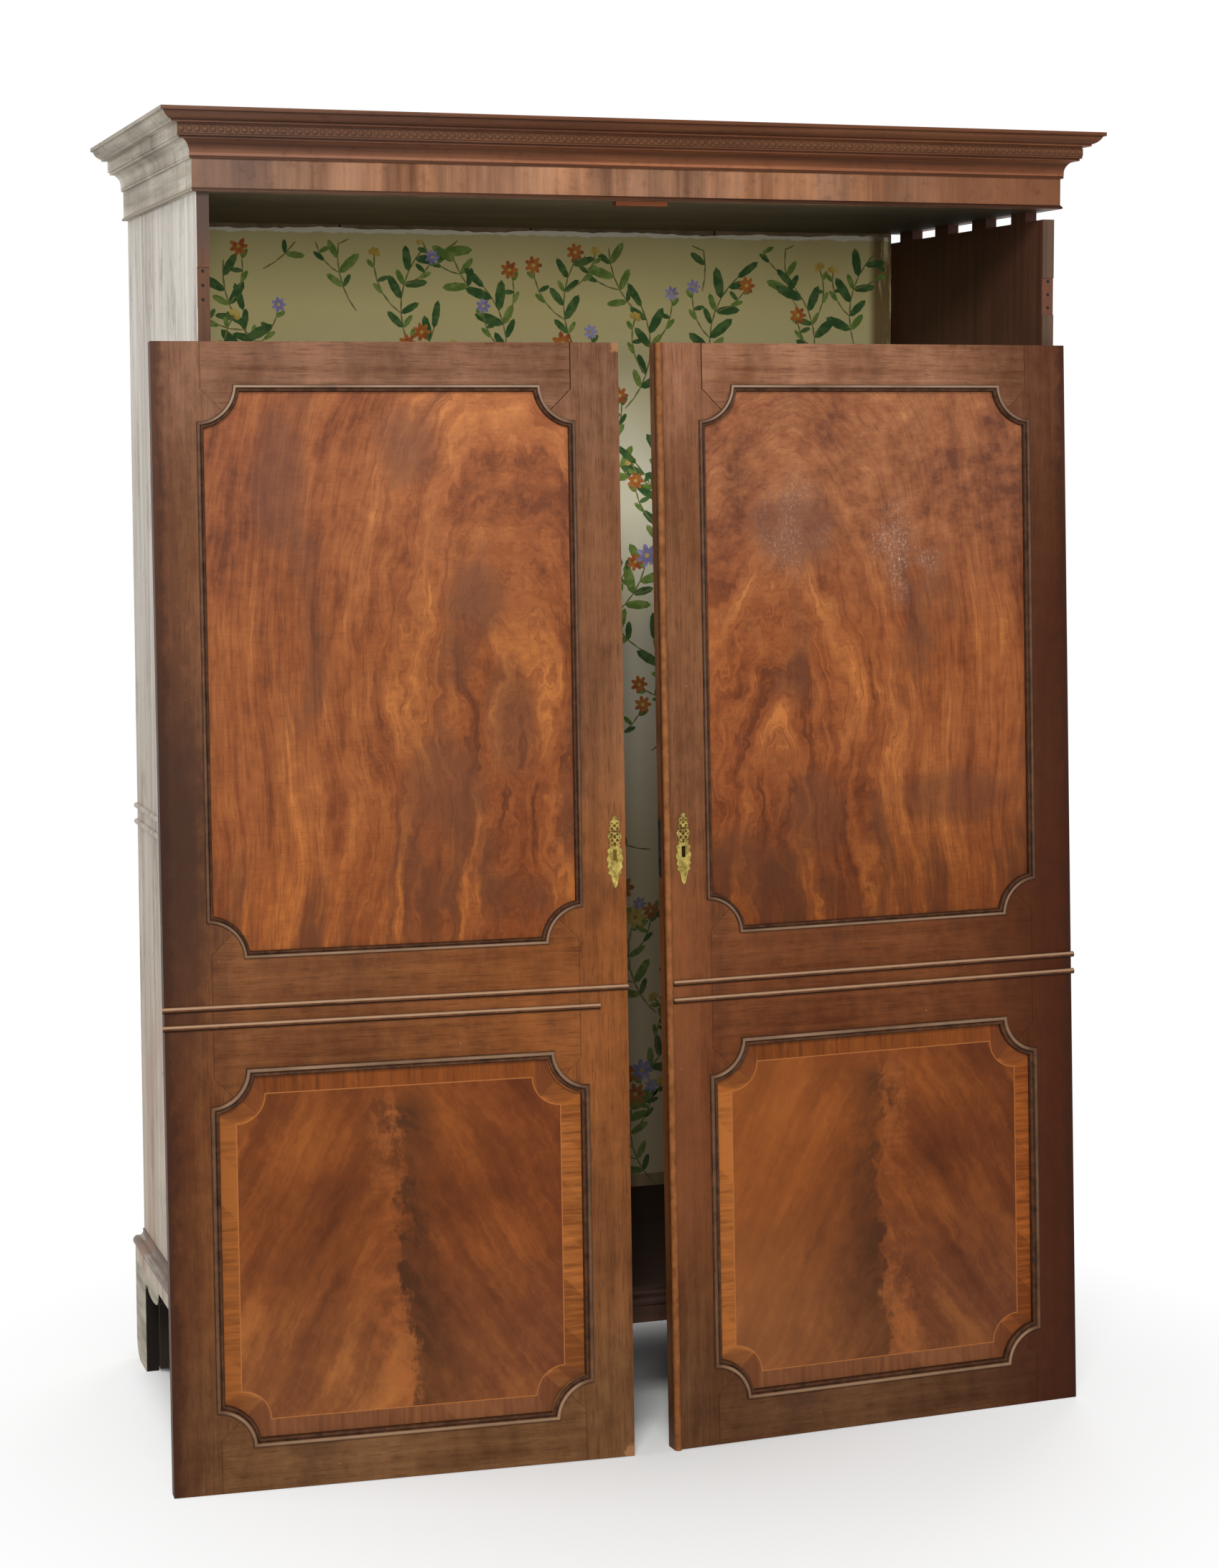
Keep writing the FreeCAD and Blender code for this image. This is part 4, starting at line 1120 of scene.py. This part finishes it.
def sprig(shape, where, angle, hand, kind):
    """A curling stalk with leaves in pairs, side stalks, and daisies or berries at the tips."""
    walk = stem(shape, where, angle, 0.20, hand * 1.3, 8)
    for index, (point, turn) in enumerate(walk[1:-1]):
        way = hand if index % 2 else -hand
        length = draw.uniform(0.034, 0.058)
        oval(shape, point, turn + way * draw.uniform(0.5, 1.1), length, length * 0.34, kind % 2)
        if index % 3 == 0:
            oval(shape, point, turn - way * 0.8, length * 0.7, length * 0.26, (kind + 1) % 2)
    for step, way in ((2, 1), (4, -1)):
        point, turn = walk[step]
        twig = stem(shape, point, turn + way * 0.9, draw.uniform(0.07, 0.12), -way * 1.1, 5)
        tip, aim = twig[-1]
        for leaf in (1, 2, 3):
            side = way if leaf % 2 else -way
            oval(shape, twig[leaf][0], aim + side, 0.028 - 0.003 * leaf, 0.009, (kind + leaf) % 2)
        if (kind + step) % 3 == 0:
            daisy(shape, tip, 0.017, 3)
        elif (kind + step) % 3 == 1:
            daisy(shape, tip, 0.014, 4)
        else:
            for berry in range(4):
                oval(shape, tip, aim + (berry - 1.5) * 0.9, 0.012, 0.010, 5)
    tip, aim = walk[-1]
    if kind % 2 == 0:
        daisy(shape, tip, 0.022, 3 + kind % 3)
    else:
        oval(shape, tip, aim, 0.05, 0.014, 1)


print("each printed shape lies", PRINT_LAYER, "m above the last")

# %% Print the lining
PRINT_COLUMNS = 10
PRINT_ROWS = 11
SIDE_MARGIN = 0.006
TOP_MARGIN = 0.02
pattern = bmesh.new()
for column in range(PRINT_COLUMNS):
    for row in range(PRINT_ROWS):
        x = (column + 0.5) * CLOTH_WIDTH / PRINT_COLUMNS + draw.uniform(-0.035, 0.035)
        z = (row + 0.5 * (column % 2)) * CLOTH_HEIGHT / PRINT_ROWS + draw.uniform(-0.03, 0.03)
        hand = 1 if (column + row) % 2 else -1
        lean = math.pi / 2 - hand * draw.uniform(0.2, 1.5)
        one = bmesh.new()
        sprig(one, (x, z), lean, hand, column * 2 + row)
        join(pattern, one)
wall = Matrix.Translation((low.x, CLOTH_FACE + 0.0001, low.z)) @ Matrix.Rotation(math.pi / 2, 4, "X")
bmesh.ops.transform(pattern, matrix=wall, verts=pattern.verts)
reach = CLOTH_WIDTH / 2 - SIDE_MARGIN
centre = (low.x + high.x) / 2
strays = [vert for vert in pattern.verts
          if abs(vert.co.x - centre) > reach or vert.co.z > high.z - TOP_MARGIN]
bmesh.ops.delete(pattern, geom=strays, context="VERTS")
bmesh.ops.recalc_face_normals(pattern, faces=pattern.faces)
for face in pattern.faces:
    if face.normal.y > 0:
        face.normal_flip()
print_piece = finished("lining_print", pattern, "carcass", "lining", *inks)
thicken(print_piece, 0.0002, -1)

# %% [markdown]
# ## Panel mouldings
# Each panel is framed by a planted moulding with two rounded beads, in eight mitred lengths that turn
# inwards at the corners. One quarter is made: a straight half length extruded, a corner spun, another
# straight half length, each cut at its mitre. Mirroring it twice gives the whole frame.

# %% The double bead and its mitre
BEAD_LINE = ((0, 0), (0.02, -2.2), (0.07, -3.8), (0.16, -4.8), (0.28, -5.0), (0.40, -4.6), (0.48, -3.2),
             (0.52, -1.6), (0.56, -1.0), (0.60, -1.9), (0.67, -2.9), (0.77, -3.3), (0.87, -2.4),
             (0.93, -0.5), (0.97, 2.0), (1.0, 5.0))
INDENT = 0.056
ARC_STEPS = 14


def bead_face(shape, at, width, lap):
    """The section as one face; at turns the distance inwards and the depth into a point."""
    line = [(share * width, depth / 1000) for share, depth in BEAD_LINE]
    line += [(lap, 0.005), (lap, 0.0)]
    return shape.faces.new([shape.verts.new(at(c, n)) for c, n in line])


def everything(shape):
    return [*shape.verts, *shape.edges, *shape.faces]


def cut_at_mitre(shape, point, along, keep):
    """Cut a shape with an upright plane through a point, keep one side and close the cut."""
    normal = Vector((along.z, 0, -along.x)).normalized()
    if normal.dot(keep - point) < 0:
        normal.negate()
    cut = bmesh.ops.bisect_plane(shape, geom=everything(shape), dist=1e-7, plane_co=point,
                                 plane_no=normal, clear_inner=True)
    rim = [item for item in cut["geom_cut"] if isinstance(item, bmesh.types.BMEdge)]
    bmesh.ops.holes_fill(shape, edges=rim)


def length_of(at, way, width, lap):
    """A straight half length as its own bmesh: the section pushed along, open at its start."""
    shape = bmesh.new()
    face = bead_face(shape, at, width, lap)
    moved = bmesh.ops.extrude_face_region(shape, geom=[face])["geom"]
    ends = [item for item in moved if isinstance(item, bmesh.types.BMVert)]
    bmesh.ops.translate(shape, vec=way, verts=ends)
    bmesh.ops.delete(shape, geom=[face], context="FACES")
    return shape


def corner_of(left, low, width, lap):
    """The turned-in corner: the section spun a quarter turn about the panel's corner."""
    shape = bmesh.new()
    face = bead_face(shape, lambda c, n: Vector((left + INDENT + c, n, low)), width, lap)
    geom = [face, *face.edges, *face.verts]
    bmesh.ops.spin(shape, geom=geom, cent=(left, 0, low), axis=(0, -1, 0), angle=math.pi / 2,
                   steps=ARC_STEPS, use_merge=False)
    return shape


print("a bead section of", len(BEAD_LINE), "points, turned in by", INDENT, "m")

# %% Frame every panel
SHARP = math.radians(50)


def panel_frame(across, height, width, lap):
    """The whole moulding of a panel, about the panel's middle."""
    left, low = -across / 2, -height / 2
    mitre = math.sqrt(INDENT ** 2 + 2 * INDENT * width)
    flat_end = Vector((left + INDENT, 0, low))
    flat_line = Vector((mitre - INDENT, 0, width))
    tall_end = Vector((left, 0, low + INDENT))
    tall_line = Vector((width, 0, mitre - INDENT))
    corner = Vector((left + INDENT * 0.8, 0, low + INDENT * 0.8))
    quarter = bmesh.new()
    flat = length_of(lambda c, n: Vector((0, n, low + c)), Vector((left, 0, 0)), width, lap)
    cut_at_mitre(flat, flat_end, flat_line, Vector((0, 0, low)))
    tall = length_of(lambda c, n: Vector((left + c, n, 0)), Vector((0, 0, low)), width, lap)
    cut_at_mitre(tall, tall_end, tall_line, Vector((left, 0, 0)))
    turned = corner_of(left, low, width, lap)
    cut_at_mitre(turned, flat_end, flat_line, corner)
    cut_at_mitre(turned, tall_end, tall_line, corner)
    for piece in (flat, tall, turned):
        join(quarter, piece)
    for axis in ("X", "Z"):
        bmesh.ops.mirror(quarter, geom=everything(quarter), matrix=Matrix.Identity(4), merge_dist=1e-6,
                         axis=axis)
    bmesh.ops.recalc_face_normals(quarter, faces=quarter.faces)
    return quarter


def round_off(piece):
    """Smooth faces, with sharp edges where they meet steeply."""
    piece.data.shade_smooth()
    piece.data.set_sharp_from_angle(angle=SHARP)


FRAMES = (("lower", LOWER_PANEL, 0.0142, 0.0065), ("upper", UPPER_PANEL, 0.0112, 0.0))
for side in ("left", "right"):
    for name, (v0, v1), width, spread in FRAMES:
        left, right_edge = EDGES[side]
        v0 -= spread
        v1 += spread
        if spread and side == "left":
            right_edge -= spread
        beads = panel_frame(DOOR_WIDTH - left - right_edge, v1 - v0, width, LAP + spread)
        centre = Matrix.Translation(((left + DOOR_WIDTH - right_edge) / 2, 0, (v0 + v1) / 2))
        bmesh.ops.transform(beads, matrix=places[side] @ centre, verts=beads.verts)
        node = side + "_" + name + "_moulding"
        piece = finished(node + "_beaded", beads, side + "_door", "mahogany", wood[side + "_moulding"])
        round_off(piece)
        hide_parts(node)

# %% [markdown]
# ## The carved bead row
# Under the top of the cornice front runs a row of small carved beads. One bead is a squashed ball of a
# few dozen faces, copied along a thin strip at an even pitch.

# %% Bead row
BEAD_PITCH = 0.012
BEAD_SIZE = (0.46, 0.0046, 0.36)
BEAD_SINK = 0.0015
STRIP_DEPTH = 0.0022
STRIP_SHARE = 0.92
low, high = (Vector(corner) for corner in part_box("crown_bead_row"))
middle = (low + high) / 2
length, tall = high.x - low.x, high.z - low.z
row = bmesh.new()
strip = bmesh.ops.create_cube(row, size=1)["verts"]
place = Matrix.Translation((middle.x, high.y - STRIP_DEPTH / 2, middle.z))
place = place @ Matrix.Diagonal((length, STRIP_DEPTH, tall * STRIP_SHARE, 1))
bmesh.ops.transform(row, matrix=place, verts=strip)
half = Matrix.Diagonal((BEAD_PITCH * BEAD_SIZE[0], BEAD_SIZE[1], tall * BEAD_SIZE[2], 1))
count = int(length / BEAD_PITCH)
for index in range(count):
    ball = bmesh.ops.create_uvsphere(row, u_segments=8, v_segments=6, radius=1)["verts"]
    x = middle.x + (index - (count - 1) / 2) * BEAD_PITCH
    place = Matrix.Translation((x, high.y - BEAD_SINK, middle.z)) @ half
    bmesh.ops.transform(row, matrix=place, verts=ball)
beads = finished("crown_beads", row, "cornice", "mahogany", wood["beads"])
round_off(beads)
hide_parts("crown_bead_row")

# %% [markdown]
# ## Finishes on the frame's own boards
# The other boards already have the right shape, so they stay as they are and only take a finish. A
# table of name endings is enough, because each door's boards share their names.

# %% Finish every board
DOOR_ENDINGS = {
    "_rail": "_rail", "_stile": "_stile", "upper_panel": "_upper_panel", "lower_panel": "_lower_panel",
    "_moulding": "_moulding", "waist_beads": "_bead",
}
BOARDS = {
    "left_side": "bleached", "side_waist_beads": "bleached", "base_left_rail": "bleached",
    "frieze_left": "bleached_cornice", "crown_left": "bleached_cornice", "base_moulding": "base",
    "rear_left_foot": "foot", "front_left_foot": "foot", "rear_right_foot": "foot",
    "front_right_foot": "foot", "foot_blocks": "block", "base_back_rail": "block",
    "base_front_rail": "base_rail", "right_side": "inner", "bottom_board": "bottom", "back_boards": "back",
    "right_meeting_bead": "meeting_bead", "cornice_back_rail": "back_rail", "cornice_soffit": "soffit",
    "stop_block": "stop", "frieze_front": "frieze", "frieze_right": "frieze", "frieze_bead": "frieze_bead",
    "crown_front": "crown", "crown_right": "crown", "crown_bead_row": "crown",
}


def finish_for(node):
    side = "left" if node.startswith("left_") else "right"
    if node.startswith(("left_", "right_")):
        for ending, kind in DOOR_ENDINGS.items():
            if node.endswith(ending):
                return wood[side + kind]
    if node.endswith("_escutcheon"):
        return metal[side + "_plate"]
    if node.endswith(("_leaves", "_pins")):
        return metal["brass"]
    if node.startswith("right_lock"):
        return metal["iron"]
    return wood[BOARDS.get(node, "plain")]


for node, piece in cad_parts.items():
    finish = finish_for(node)
    if not piece.material_slots:
        piece.data.materials.append(finish)
    for holder in piece.material_slots:
        holder.material = finish
print("finished", len(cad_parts), "boards")
